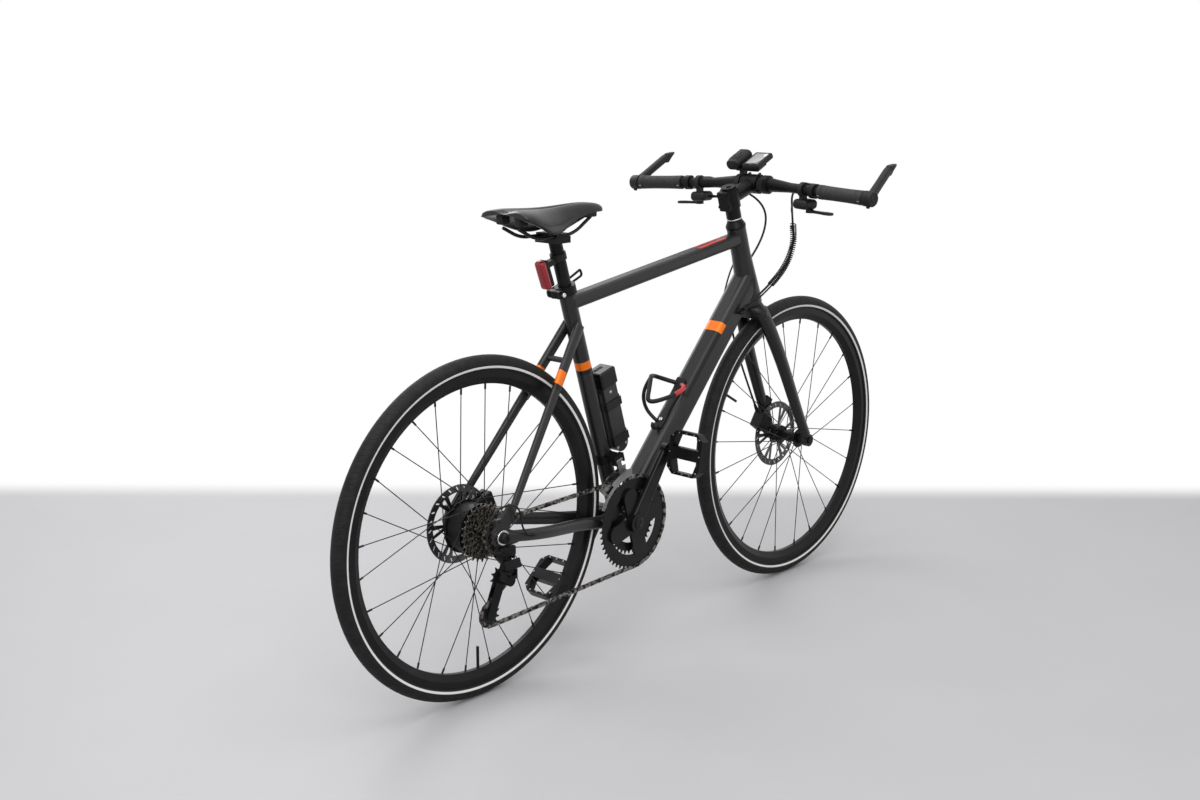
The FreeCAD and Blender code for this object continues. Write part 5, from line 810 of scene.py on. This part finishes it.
def addRearLight(look):
    place = frameAt(look["middle"], seatUp, seatFore) @ Matrix.Rotation(math.radians(look["tilt"]), 4, "Y")
    shellPlace = place @ Matrix.Translation((look["shellAhead"], 0, 0))
    shell = blockPiece("rearLightShell", look["shell"], shellPlace, look["shellEdge"], 4)
    dressPiece(shell, "seat", "black_plastic")
    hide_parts("rear_light")
    lensPlace = place @ Matrix.Translation((look["lensAhead"], 0, 0))
    lens = blockPiece("rearLightLens", look["lens"], lensPlace, look["lensEdge"], 6)
    ribPlaces = [place @ Matrix.Translation((look["ribAhead"], 0, height)) for height in look["ribs"]]
    ribs = [blockPiece("rearLightRib", look["rib"], spot, look["ribEdge"], 2) for spot in ribPlaces]
    dressJoined("rearLightLens", [lens] + ribs, "seat", "red_lens")


addRearLight(lampLook)
print("seat fittings done")


# places along the handlebar, from its middle outwards
barLine = {"ahead": 0.35125, "height": 0.97030, "sweep": 0.0931, "drop": 0.04483}


def onBar(sign, aside):
    return Vector((barLine["ahead"] - barLine["sweep"] * aside, sign * aside,
                   barLine["height"] - barLine["drop"] * aside))


def barHeading(sign):
    return (onBar(sign, 0.2) - onBar(sign, 0.1)).normalized()


# grips with a clamping collar and two small bolts at each end
gripLook = {
    "inner": 0.1955,
    "stations": [(0.0, 0.0140), (0.0008, 0.0159), (0.0100, 0.0160), (0.0108, 0.0150), (0.0124, 0.0150),
                 (0.0132, 0.0157), (0.0400, 0.0152), (0.0800, 0.0152), (0.1060, 0.0157), (0.1068, 0.0149),
                 (0.1084, 0.0149), (0.1092, 0.0160), (0.1215, 0.0160), (0.1224, 0.0140)],
    "ribs": 2600.0,
    "ribbed": (0.0145, 0.1050),
    "dark": (0.0055, 0.0055, 0.006),
    "pale": (0.015, 0.015, 0.0155),
    "boltAsides": (0.2008, 0.3108),
    "boltTurns": ((-70, -0.0016), (-110, 0.0016)),  # turn round the bar, step along it
    "boltDip": -0.45,
    "boltReach": 0.0157,
    "bolt": (0.0013, 0.0006),
}


def gripFinish(name, look, sign):
    material, tree, shader = newMaterial(name)
    place = objectPlace(tree)
    run = alongOf(tree, place, onBar(sign, look["inner"]), barHeading(sign))
    ribs = mathOf(tree, "SINE", mathOf(tree, "MULTIPLY", run, look["ribs"]))
    zone = spanOf(tree, run, *look["ribbed"], 0.002)
    dust = rampOf(tree, noiseOf(tree, place, 90, 5), [(0.3, look["dark"]), (0.75, look["pale"])])
    tree.links.new(dust, shader.inputs["Base Color"])
    roughBetween(tree, shader, noiseOf(tree, place, 300, 3), 0.55, 0.80)
    relief = mathOf(tree, "MULTIPLY", mathOf(tree, "MULTIPLY", ribs, zone), 0.5)
    bumpOf(tree, shader, mathOf(tree, "ADD", relief, noiseOf(tree, place, 1500, 2)), 0.5, 0.00025)
    return material


def addGrips(look):
    spots = []
    for side, sign in (("left", 1), ("right", -1)):
        heading = barHeading(sign)
        grip = turnPiece(side + "Grip", look["stations"], frameAt(onBar(sign, look["inner"]), heading), 40)
        dressPiece(grip, "steering", "grip_rubber", gripFinish(side + "GripRubber", look, sign), 30)
        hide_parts("grips")
        for aside in look["boltAsides"]:
            for turn, step in look["boltTurns"]:
                axis = Vector((math.sin(math.radians(turn)), 0, look["boltDip"])).normalized()
                axis = (axis - heading * axis.dot(heading)).normalized()
                spots.append((onBar(sign, aside + step) + axis * look["boltReach"], axis))
    boltRow("gripCollarBolts", *look["bolt"], spots, "steering")


addGrips(gripLook)


# bar-ends: clamp, horn with a raised rib, hooked tip and a round end plug
hornLook = {
    "clamp": 0.3182,
    "root": 0.330,
    "heading": (0.86, -0.13, 0.53),
    "ahead": (0.5, 0, -0.8),
    "edge": 0.0052,
    "sleeve": [(0.0, 0.0140), (0.0008, 0.0168), (0.0205, 0.0168), (0.0232, 0.0150), (0.0236, 0.0128),
               (0.0226, 0.0122), (0.0226, 0.0074), (0.0236, 0.0068), (0.0236, 0.0030), (0.0230, 0.0026)],
    "stations": [(0.004, 0, 0, 0.0088, 0.0092), (0.020, 0, 0, 0.0084, 0.0086), (0.055, 0, 0, 0.0082, 0.0082),
                 (0.096, 0, 0, 0.0084, 0.0082), (0.106, 0, 0, 0.0080, 0.0078)],
    "tipReach": 0.1125,
    "tipRise": 0.0060,
    "tipHeading": (-0.12, 0, 1),
    "tipEdge": 0.0050,
    "tip": [(-0.0200, -0.0070, 0, 0.0060, 0.0074), (-0.0110, 0.0000, 0, 0.0098, 0.0080),
            (-0.0030, 0.0070, 0, 0.0150, 0.0082), (-0.0008, 0.0080, 0, 0.0156, 0.0080),
            (0.0008, 0.0080, 0, 0.0140, 0.0066)],
    "rib": (0.0030, 0.0022, 0.070),
    "ribSpot": (-0.0012, -0.0084, 0.058),
    "ribEdge": 0.0009,
    "bolt": [(0, 0.0042), (0.004, 0.0042), (0.0052, 0.0034)],
    "boltSpot": Vector((-0.004, 0, -0.0150)),
    "boltHeading": (-0.2, 0, -1),
}


def addBarEnds(look):
    for side, sign in (("left", 1), ("right", -1)):
        root = onBar(sign, look["root"])
        heading = Vector((look["heading"][0], look["heading"][1] * sign, look["heading"][2])).normalized()
        place = frameAt(root, heading, look["ahead"])
        ahead, aside, along = look["ribSpot"]
        tipSpot = root + heading * look["tipReach"] + Vector((0, 0, look["tipRise"]))
        clampPlace = frameAt(onBar(sign, look["clamp"]), barHeading(sign))
        ribPlace = place @ Matrix.Translation((ahead, aside * sign, along))
        boltPlace = frameAt(root + look["boltSpot"], look["boltHeading"])
        pieces = [
            turnPiece(side + "BarEnd", look["sleeve"], clampPlace, 40),
            drawnPiece(side + "Horn", look["stations"], place, look["edge"]),
            drawnPiece(side + "HornTip", look["tip"], frameAt(tipSpot, look["tipHeading"]), look["tipEdge"]),
            blockPiece(side + "HornRib", look["rib"], ribPlace, look["ribEdge"], 2),
            turnPiece(side + "HornBolt", look["bolt"], boltPlace, 18),
        ]
        whole = dressJoined(side + "BarEnd", pieces, "steering", "grip_rubber", finishes["black_plastic"])
        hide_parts("bar_ends")


addBarEnds(hornLook)
print("grips and bar-ends done")


# bike computer with a pale screen, its bezel and two keys
deckPlace = frameAt((0.363597, 0, 1.008063), (-0.4384, 0, 0.8988))
computerLook = {
    "centre": (0.004, 0, 0.0095),
    "size": (0.0615, 0.0475, 0.0138),
    "edge": 0.0042,
    "bezel": (0.00175, 0.0004),
    "sink": (0.0012, -0.0008),
    "screenHalf": (0.024, 0.018),
    "screen": (0.30, 0.31, 0.31),
    "key": (0.0042, 0.011, 0.0018),
    "keySpot": (-0.02625, 0.010, 0.0067),
    "keyEdge": 0.0007,
}


def screenFinish(look):
    material, tree, shader = newMaterial("computerScreen")
    place = objectPlace(tree)
    dim = tuple(0.9 * part for part in look["screen"])
    shade = rampOf(tree, noiseOf(tree, place, 30, 2), [(0.3, dim), (0.7, look["screen"])])
    tree.links.new(shade, shader.inputs["Base Color"])
    roughBetween(tree, shader, noiseOf(tree, place, 500, 2), 0.12, 0.22)
    shader.inputs["Coat Weight"].default_value = 0.8
    return material


def addComputer(look):
    place = deckPlace @ Matrix.Translation(look["centre"])
    body = blockPiece("computerBody", look["size"], Matrix.Identity(4), look["edge"], 5)
    top = look["size"][2] / 2
    facesWhere(body, lambda polygon: polygon.center.z > top - 0.0001)
    for thickness, depth in (look["bezel"], look["sink"]):
        bpy.ops.mesh.inset(thickness=thickness, depth=depth)
    bpy.ops.object.mode_set(mode="OBJECT")
    dressPiece(body, None, "black_plastic")
    body.data.materials.append(screenFinish(look))
    halfLong, halfWide = look["screenHalf"]
    for polygon in body.data.polygons:
        inside = abs(polygon.center.x) < halfLong and abs(polygon.center.y) < halfWide
        if polygon.select or (inside and polygon.normal.z > 0.9 and polygon.center.z < top):
            polygon.material_index = 1
    setDown(body, place)
    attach(body, "steering")
    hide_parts("computer")
    back, aside, rise = look["keySpot"]
    keyPlaces = [place @ Matrix.Translation((back, side * aside, rise)) for side in (1, -1)]
    keys = [blockPiece("computerKey", look["key"], spot, look["keyEdge"]) for spot in keyPlaces]
    dressJoined("computerKeys", keys, "steering", "black_plastic", finishes["black_metal"])


addComputer(computerLook)


# front light: a hooded body with a clear lens, a cooling rib pattern and a switch
headlightLook = {
    "centre": (-0.002, 0.048, 0.0136),
    "stations": [(-0.0285, 0, 0, 0.0120, 0.0085), (-0.0265, 0, 0, 0.0165, 0.0112),
                 (-0.018, 0, 0, 0.0188, 0.0122), (0.006, 0, 0, 0.0194, 0.0124),
                 (0.020, 0, 0, 0.0196, 0.0126), (0.0275, 0, 0.0006, 0.0190, 0.0120),
                 (0.0275, 0, 0.0006, 0.0168, 0.0098), (0.0235, 0, 0, 0.0160, 0.0090)],
    "edge": 0.0070,
    "rib": (0.026, 0.0012, 0.0016),
    "ribRise": 0.0122,
    "ribEdge": 0.0005,
    "ribs": [-0.016 + 0.0045 * step for step in range(5)],
    "switch": [(0, 0.0046), (0.0008, 0.0046), (0.0014, 0.0038)],
    "switchSpot": (0, 0.0120, 0.012),
    "lens": [(0.0232, 0, 0, 0.0156, 0.0086), (0.0250, 0, 0, 0.0150, 0.0080), (0.0258, 0, 0, 0.0110, 0.0050)],
    "lensEdge": 0.0060,
}


def lensFinish():
    material, tree, shader = newMaterial("clearLens")
    place = objectPlace(tree)
    shade = rampOf(tree, noiseOf(tree, place, 250, 2), [(0.3, (0.50, 0.51, 0.52)), (0.7, (0.68, 0.69, 0.70))])
    tree.links.new(shade, shader.inputs["Base Color"])
    roughBetween(tree, shader, noiseOf(tree, place, 400, 2), 0.06, 0.14)
    shader.inputs["Coat Weight"].default_value = 1.0
    bumpOf(tree, shader, noiseOf(tree, place, 350, 1), 0.4, 0.0003)
    return material


def addHeadlight(look):
    quarter = math.radians(90)
    place = deckPlace @ Matrix.Translation(look["centre"]) @ Matrix.Rotation(quarter, 4, "Y")
    place = place @ Matrix.Rotation(quarter, 4, "Z")
    body = drawnPiece("headlightBody", look["stations"], place, look["edge"])
    ribPlaces = [place @ Matrix.Translation((0, look["ribRise"], along)) for along in look["ribs"]]
    ribs = [blockPiece("headlightRib", look["rib"], spot, look["ribEdge"], 2) for spot in ribPlaces]
    switchPlace = place @ Matrix.Translation(look["switchSpot"]) @ Matrix.Rotation(-quarter, 4, "X")
    switch = turnPiece("headlightSwitch", look["switch"], switchPlace, 24)
    whole = dressJoined("headlightBody", [body, switch] + ribs, "steering", "black_plastic", smoothAngle=40)
    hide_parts("headlight")
    lens = drawnPiece("headlightLens", look["lens"], place, look["lensEdge"])
    dressPiece(lens, "steering", "bright_metal", lensFinish(), 60)


addHeadlight(headlightLook)
print("computer and front light done")


# bottle cage: a spine on the down tube, a looped band with a red end, a side strut and a toe hook
cageLook = {
    "origin": downStart + downAlong * 0.294 + downUp * 0.0285,
    "spine": [(-0.0860, 0.0030, 0, 0.0022, 0.0070), (-0.0830, 0.0026, 0, 0.0026, 0.0105),
              (-0.0640, 0.0026, 0, 0.0026, 0.0120), (-0.0320, 0.0026, 0, 0.0026, 0.0085),
              (0.0000, 0.0026, 0, 0.0026, 0.0120), (0.0200, 0.0028, 0, 0.0028, 0.0130),
              (0.0330, 0.0060, 0, 0.0050, 0.0125), (0.0410, 0.0075, 0, 0.0055, 0.0100),
              (0.0430, 0.0075, 0, 0.0045, 0.0080)],
    "spineEdge": 0.0016,
    "band": [(0.006, -0.008, 0.030), (0.014, -0.024, 0.028), (0.030, -0.0375, 0.023),
             (0.050, -0.0375, 0.015), (0.069, -0.028, 0.004), (0.0795, -0.017, -0.004),
             (0.0815, -0.012, -0.012), (0.0820, -0.002, -0.035), (0.0820, 0.005, -0.054),
             (0.0810, 0.012, -0.063), (0.0740, 0.022, -0.058), (0.058, 0.034, -0.036),
             (0.040, 0.0385, -0.012), (0.024, 0.0345, 0.009), (0.013, 0.024, 0.021),
             (0.006, 0.009, 0.027)],
    "strut": [(0.0795, -0.017, -0.006), (0.070, -0.028, -0.022), (0.050, -0.0380, -0.040),
              (0.028, -0.0370, -0.054), (0.012, -0.024, -0.064), (0.004, -0.008, -0.070)],
    "toe": [(0.003, 0, -0.080), (0.008, 0, -0.090), (0.016, 0, -0.0925), (0.0205, 0, -0.089),
            (0.0215, 0, -0.084)],
    "wires": {"band": 0.0050, "strut": 0.0042, "toe": 0.0044},
    "accentFrom": 0.80,
    "accentWire": 0.0053,
    "red": (0.52, 0.022, 0.030),
    "bolt": (0.0046, 0.0030),
    "boltSpots": ((0.0048, 0, 0.0), (0.0048, 0, -0.064)),
}


def redFinish(look):
    material, tree, shader = newMaterial("cageRed")
    place = objectPlace(tree)
    dim = tuple(0.8 * part for part in look["red"])
    shade = rampOf(tree, noiseOf(tree, place, 60, 3), [(0.3, dim), (0.7, look["red"])])
    tree.links.new(shade, shader.inputs["Base Color"])
    roughBetween(tree, shader, noiseOf(tree, place, 200, 2), 0.30, 0.42)
    return material


def addBottleCage(look):
    place = frameAt(look["origin"], downAlong, downUp)
    pieces = [drawnPiece("bottleSpine", look["spine"], place, look["spineEdge"])]
    for part, wire in look["wires"].items():
        pieces.append(wirePiece("bottle" + part.title(), [place @ Vector(spot) for spot in look[part]], wire))
    whole = dressJoined("bottleCage", pieces, "frame", "black_plastic", smoothAngle=40)
    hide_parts("bottle_cage")
    line = splineOf("bottleAccent", [place @ Vector(spot) for spot in look["band"]])
    path = pathOf(line)
    bpy.data.objects.remove(line)
    accent = wirePiece("bottleAccent", path[int(len(path) * look["accentFrom"]):], look["accentWire"])
    dressPiece(accent, "frame", "black_plastic", redFinish(look), 50)
    spots = [(place @ Vector(spot), downUp) for spot in look["boltSpots"]]
    boltRow("bottleCageBolts", *look["bolt"], spots, "frame")


addBottleCage(cageLook)
print("bottle cage done")


# folding lock: key slot in the head, buckles on the straps and rivets on the bars
lockLook = {
    "origin": crankAxle + seatUp * 0.147,
    "slot": (0.026, 0.0085, 0.0016),
    "slotSpot": (0.0413, 0.004, 0.190),
    "slotEdge": 0.0006,
    "slotInsets": ((0.0018, 0.0), (0.0002, -0.0012)),
    "cover": [(0, 0.0075), (0.0012, 0.0075), (0.0018, 0.0068), (0.0018, 0.0030), (0.0008, 0.0026)],
    "coverSpot": (0.0693, 0, 0.171),
    "rivet": [(0, 0.0042), (0.0006, 0.0042), (0.0012, 0.0030)],
    "rivets": ((0.0433, 0.140), (0.0300, 0.013), (0.0560, 0.013)),
    "rivetAside": 0.0179,
    "buckle": (0.0065, 0.026, 0.0205),
    "buckleAhead": 0.0693,
    "buckleEdge": 0.0020,
    "tongue": (0.0030, 0.014, 0.0300),
    "tongueSpot": (0.0725, -0.003),
    "tongueEdge": 0.0011,
    "straps": (0.030, 0.112),
}


def addLockHead(look, place):
    slotPlace = place @ Matrix.Translation(look["slotSpot"])
    slot = blockPiece("lockSlot", look["slot"], slotPlace, look["slotEdge"])
    facesWhere(slot, lambda polygon: polygon.normal.dot(seatUp) > 0.99 and polygon.area > 0.00005)
    for thickness, depth in look["slotInsets"]:
        bpy.ops.mesh.inset(thickness=thickness, depth=depth)
    bpy.ops.object.mode_set(mode="OBJECT")
    coverPlace = place @ Matrix.Translation(look["coverSpot"]) @ Matrix.Rotation(math.radians(90), 4, "Y")
    cover = turnPiece("lockCover", look["cover"], coverPlace, 28)
    dressJoined("lockHeadDetails", [slot, cover], "lock", "black_plastic")


def addLockRivets(look, place):
    model = turnPiece("lockRivetModel", look["rivet"], Matrix.Identity(4), 20)
    rivets = []
    for along, height in look["rivets"]:
        for side in (1, -1):
            spot = place @ Vector((along, side * look["rivetAside"], height))
            rivets.append(copyTo(model, "lockRivet", frameAt(spot, (0, side, 0))))
    bpy.data.objects.remove(model)
    dressJoined("lockRivets", rivets, "lock", "lock_steel", finishes["axle_steel"])


def addLockBuckles(look, place):
    buckles = []
    ahead, drop = look["tongueSpot"]
    for height in look["straps"]:
        bucklePlace = place @ Matrix.Translation((look["buckleAhead"], 0, height))
        buckles.append(blockPiece("strapBuckle", look["buckle"], bucklePlace, look["buckleEdge"]))
        tonguePlace = place @ Matrix.Translation((ahead, 0, height + drop))
        buckles.append(blockPiece("strapTongue", look["tongue"], tonguePlace, look["tongueEdge"]))
    dressJoined("lockBuckles", buckles, "frame", "black_plastic")


lockPlace = frameAt(lockLook["origin"], seatUp, seatFore)
addLockHead(lockLook, lockPlace)
addLockRivets(lockLook, lockPlace)
addLockBuckles(lockLook, lockPlace)
print("lock details done")


# headset: a pale line round the bearing cover
spacerRing = {
    "at": 0.5955,
    "stations": [(-0.0016, 0.0167), (-0.00096, 0.0173), (0.00096, 0.0173), (0.0016, 0.0167)],
}


def addSpacerRing(look):
    ring = turnPiece("spacerRing", look["stations"], frameAt(steerFoot + steerUp * look["at"], steerUp), 48)
    dressPiece(ring, "steering", "bright_metal")


addSpacerRing(spacerRing)


# rear derailleur: body on the hanger with its bolt, adjuster, pivots and the loop of cable that feeds it
derailleurLook = {
    "bolt": (-0.517, -0.0745, 0.318),
    "boss": [(0, 0.0088), (0.0085, 0.0090), (0.0100, 0.0082), (0.0104, 0.0052), (0.0094, 0.0048),
             (0.0094, 0.0030), (0.0070, 0.0028)],
    "linkHigh": Vector((-0.502, -0.06906, 0.30307)),
    "linkLow": Vector((-0.502, -0.080, 0.273)),
    "bridge": (0.0322, 0.0098, 0.0198),
    "bridgeSpot": (-0.502, -0.0800, 0.31507),
    "bridgeEdge": 0.0030,
    "ear": (0.0040, 0.0198, 0.0130),
    "earSpot": (0.0143, -0.002, 0.0005),
    "earEdge": 0.0012,
    "pin": [(-0.0172, 0.0016), (-0.0168, 0.0032), (-0.0163, 0.0032), (-0.0163, 0.0020),
            (0.0163, 0.0020), (0.0163, 0.0032), (0.0168, 0.0032), (0.0172, 0.0016)],
    "pivot": (0.0032, 0.0012),
    "pivotAhead": 0.0163,
    "loop": [(-0.4330, -0.0797, 0.3314), (-0.4730, -0.0885, 0.3420), (-0.4790, -0.0885, 0.4110),
             (-0.5550, -0.0885, 0.4110), (-0.5720, -0.0865, 0.3270), (-0.5275, -0.0805, 0.3180)],
    "cable": 0.0020,
}


def addDerailleurMount(look):
    high = look["linkHigh"]
    boss = turnPiece("derailleurBoss", look["boss"], frameAt(look["bolt"], (0, -1, 0)), 40)
    bridgePlace = Matrix.Translation(look["bridgeSpot"])
    bridge = blockPiece("derailleurBridge", look["bridge"], bridgePlace, look["bridgeEdge"], 4)
    ahead, aside, rise = look["earSpot"]
    earPlaces = [Matrix.Translation(high + Vector((side * ahead, aside, rise))) for side in (1, -1)]
    ears = [blockPiece("derailleurEar", look["ear"], spot, look["earEdge"]) for spot in earPlaces]
    pin = turnPiece("derailleurPin", look["pin"], frameAt(high, (1, 0, 0), (0, 0, 1)), 20)
    before, last = (Vector(spot) for spot in look["loop"][-2:])
    adjuster = ferruleAt("derailleurAdjuster", last, before - last, look["cable"] * 1.3)
    whole = dressJoined("derailleurMount", [boss, bridge, pin, adjuster] + ears, "frame", "black_metal")
    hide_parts("rear_derailleur_mount")
    headings = (Vector((1, 0, 0)), Vector((-1, 0, 0)))
    pivots = [(look["linkLow"] + heading * look["pivotAhead"], heading) for heading in headings]
    boltRow("derailleurPivots", *look["pivot"], pivots, "changer_knuckle")


def addDerailleurCable(look):
    line = splineOf("derailleurCable", look["loop"])
    path = pathOf(line)
    cable = dressPiece(tubeOn(line, look["cable"]), "frame", "cable_cover", smoothAngle=60)
    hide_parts("rear_derailleur_mount")
    dressPiece(ferruleAt("cableStop", path[0], path[1] - path[0], look["cable"]), "frame", "black_metal")
    print("derailleur cable", round(lengthOf(path), 4))


addDerailleurMount(derailleurLook)
addDerailleurCable(derailleurLook)


# turned caps: dark nuts and pale washers on the rear axle, and dust caps over the crank spindle's ends
capLooks = {
    "rearAxleNuts": {
        "axle": rearAxle, "reach": 0.0766, "sides": 40, "body": "frame", "slot": "black_metal",
        "stations": [(0, 0.0112), (0.0080, 0.0112), (0.0115, 0.0100), (0.0130, 0.0080), (0.0130, 0.0050),
                     (0.0113, 0.0046)],
    },
    "rearAxleWashers": {
        "axle": rearAxle, "reach": 0.0766, "sides": 40, "body": "frame", "slot": "bright_metal",
        "stations": [(-0.0008, 0.0150), (0.0030, 0.0150), (0.0036, 0.0144), (0.0036, 0.0100)],
    },
    "crankCaps": {
        "axle": crankAxle, "reach": 0.0640, "sides": 36, "body": "crankset", "slot": "crank_black",
        "stations": [(0, 0.0130), (0.0010, 0.0130), (0.0016, 0.0120), (0.0016, 0.0060), (0.0004, 0.0052)],
    },
}


def addCaps(name, look):
    headings = (Vector((0, 1, 0)), Vector((0, -1, 0)))
    places = [frameAt(look["axle"] + heading * look["reach"], heading) for heading in headings]
    caps = [turnPiece(name, look["stations"], place, look["sides"]) for place in places]
    dressJoined(name, caps, look["body"], look["slot"])


for capName, capLook in capLooks.items():
    addCaps(capName, capLook)


# pedals: studs along the rails of both faces
pedalLook = {
    "reach": 0.124,
    "half": 0.011,
    "stud": [(-0.0005, 0.0018), (0.0008, 0.0018), (0.0010, 0.0012), (0.0022, 0.0009)],
    "studs": [(0.043, 0.020), (0.043, 0.0), (0.043, -0.020), (0.036, 0.036), (0.036, -0.036), (0.0, 0.040),
              (0.0, -0.040)],
    "pedals": {
        "left_pedal": {"eye": (-0.190, 0.12978), "side": 1, "tilt": 43},
        "right_pedal": {"eye": (-0.020, 0.42422), "side": -1, "tilt": 80},
    },
}


def addStuds(look):
    model = turnPiece("studModel", look["stud"], Matrix.Identity(4), 12)
    for body, pedal in look["pedals"].items():
        turn = math.radians(pedal["tilt"])
        lengthwise = Vector((math.cos(turn), 0, math.sin(turn)))
        normal = lengthwise.cross(Vector((0, 1, 0)))
        middle = Vector((pedal["eye"][0], pedal["side"] * look["reach"], pedal["eye"][1]))
        studs = []
        for along, aside in look["studs"]:
            for flip in ((1, -1) if along else (1,)):
                for face in (1, -1):
                    spot = middle + lengthwise * along * flip + Vector((0, aside, 0))
                    spot += normal * face * look["half"]
                    studs.append(copyTo(model, body + "Stud", frameAt(spot, normal * face, lengthwise)))
        dressJoined(body + "Studs", studs, body, "black_metal", finishes["axle_steel"])
    bpy.data.objects.remove(model)


addStuds(pedalLook)
print("drive details done")


# pale floor that turns white away from the bicycle
floorLook = {
    "size": 60.0,
    "height": -0.0005,
    "grey": (0.50, 0.495, 0.51),
    "fadeStart": 0.98,
    "fadeEnd": 1.16,
    "ringStart": 2.6,
    "ringEnd": 4.2,
    "heading": 43.1,
}


def fadeOf(tree, value, start, end):
    fade = addNode(tree, "ShaderNodeMapRange", interpolation_type="SMOOTHSTEP")
    fade.inputs["From Min"].default_value = start
    fade.inputs["From Max"].default_value = end
    tree.links.new(value, fade.inputs["Value"])
    return fade.outputs["Result"]


def lookedAt(tree):
    seen = addNode(tree, "ShaderNodeLightPath")
    mirrored = mathOf(tree, "MAXIMUM", seen.outputs["Is Glossy Ray"], seen.outputs["Is Transmission Ray"])
    return mathOf(tree, "MAXIMUM", seen.outputs["Is Camera Ray"], mirrored)


def addFloor(look):
    bpy.ops.mesh.primitive_plane_add(size=look["size"], location=(0, 0, look["height"]))
    floor = pieceFrom("studioFloor")
    bpy.ops.object.transform_apply(location=True)
    material, tree, shader = newMaterial("studioFloor")
    place = objectPlace(tree)
    split = addNode(tree, "ShaderNodeSeparateXYZ")
    tree.links.new(place, split.inputs["Vector"])
    across = mathOf(tree, "MULTIPLY", split.outputs["X"], split.outputs["X"])
    beside = mathOf(tree, "MULTIPLY", split.outputs["Y"], split.outputs["Y"])
    reach = mathOf(tree, "SQRT", mathOf(tree, "ADD", across, beside))
    heading = math.radians(look["heading"])
    depth = alongOf(tree, place, (0, 0, 0), (math.cos(heading), math.sin(heading), 0))
    behind = fadeOf(tree, depth, look["fadeStart"], look["fadeEnd"])
    fade = mathOf(tree, "MAXIMUM", behind, fadeOf(tree, reach, look["ringStart"], look["ringEnd"]))
    dim = tuple(channel * 0.97 for channel in look["grey"])
    patches = rampOf(tree, noiseOf(tree, place, 3.0, 4), [(0.3, dim), (0.7, look["grey"])])
    tree.links.new(patches, shader.inputs["Base Color"])
    shader.inputs["Roughness"].default_value = 0.55
    shader.inputs["Specular IOR Level"].default_value = 0.25
    glow = addNode(tree, "ShaderNodeEmission")
    mix = addNode(tree, "ShaderNodeMixShader")
    tree.links.new(mathOf(tree, "MULTIPLY", fade, lookedAt(tree)), mix.inputs["Fac"])
    tree.links.new(shader.outputs["BSDF"], mix.inputs[1])
    tree.links.new(glow.outputs["Emission"], mix.inputs[2])
    tree.links.new(mix.outputs["Shader"], tree.nodes["Material Output"].inputs["Surface"])
    floor.data.materials.append(material)


studioLight = {
    "sky": 0.56,
    "lamps": [
        {"name": "overheadLamp", "spot": (-0.6, -0.4, 3.4), "size": 3.4, "power": 62},
        {"name": "rearLamp", "spot": (-2.6, -2.4, 2.6), "size": 2.2, "power": 42},
        {"name": "leftLamp", "spot": (0.8, 3.0, 2.4), "size": 2.4, "power": 40},
    ],
}


def addLight(look):
    world = bpy.data.worlds.new("studioWorld")
    bpy.context.scene.world = world
    world.use_nodes = True
    tree = world.node_tree
    sky = tree.nodes["Background"]
    sky.inputs["Color"].default_value = (1, 1, 1, 1)
    strength = addNode(tree, "ShaderNodeMapRange")
    strength.inputs["To Min"].default_value = look["sky"]
    strength.inputs["To Max"].default_value = 1.0
    tree.links.new(lookedAt(tree), strength.inputs["Value"])
    tree.links.new(strength.outputs["Result"], sky.inputs["Strength"])
    for lamp in look["lamps"]:
        bpy.ops.object.light_add(type="AREA", location=lamp["spot"])
        light = bpy.context.object
        light.name = lamp["name"]
        light.data.shape = "DISK"
        light.data.size = lamp["size"]
        light.data.energy = lamp["power"]
        aim = Vector((0, 0, 0.5)) - Vector(lamp["spot"])
        light.rotation_euler = aim.to_track_quat("-Z", "Y").to_euler()


addFloor(floorLook)
addLight(studioLight)
print("studio set")
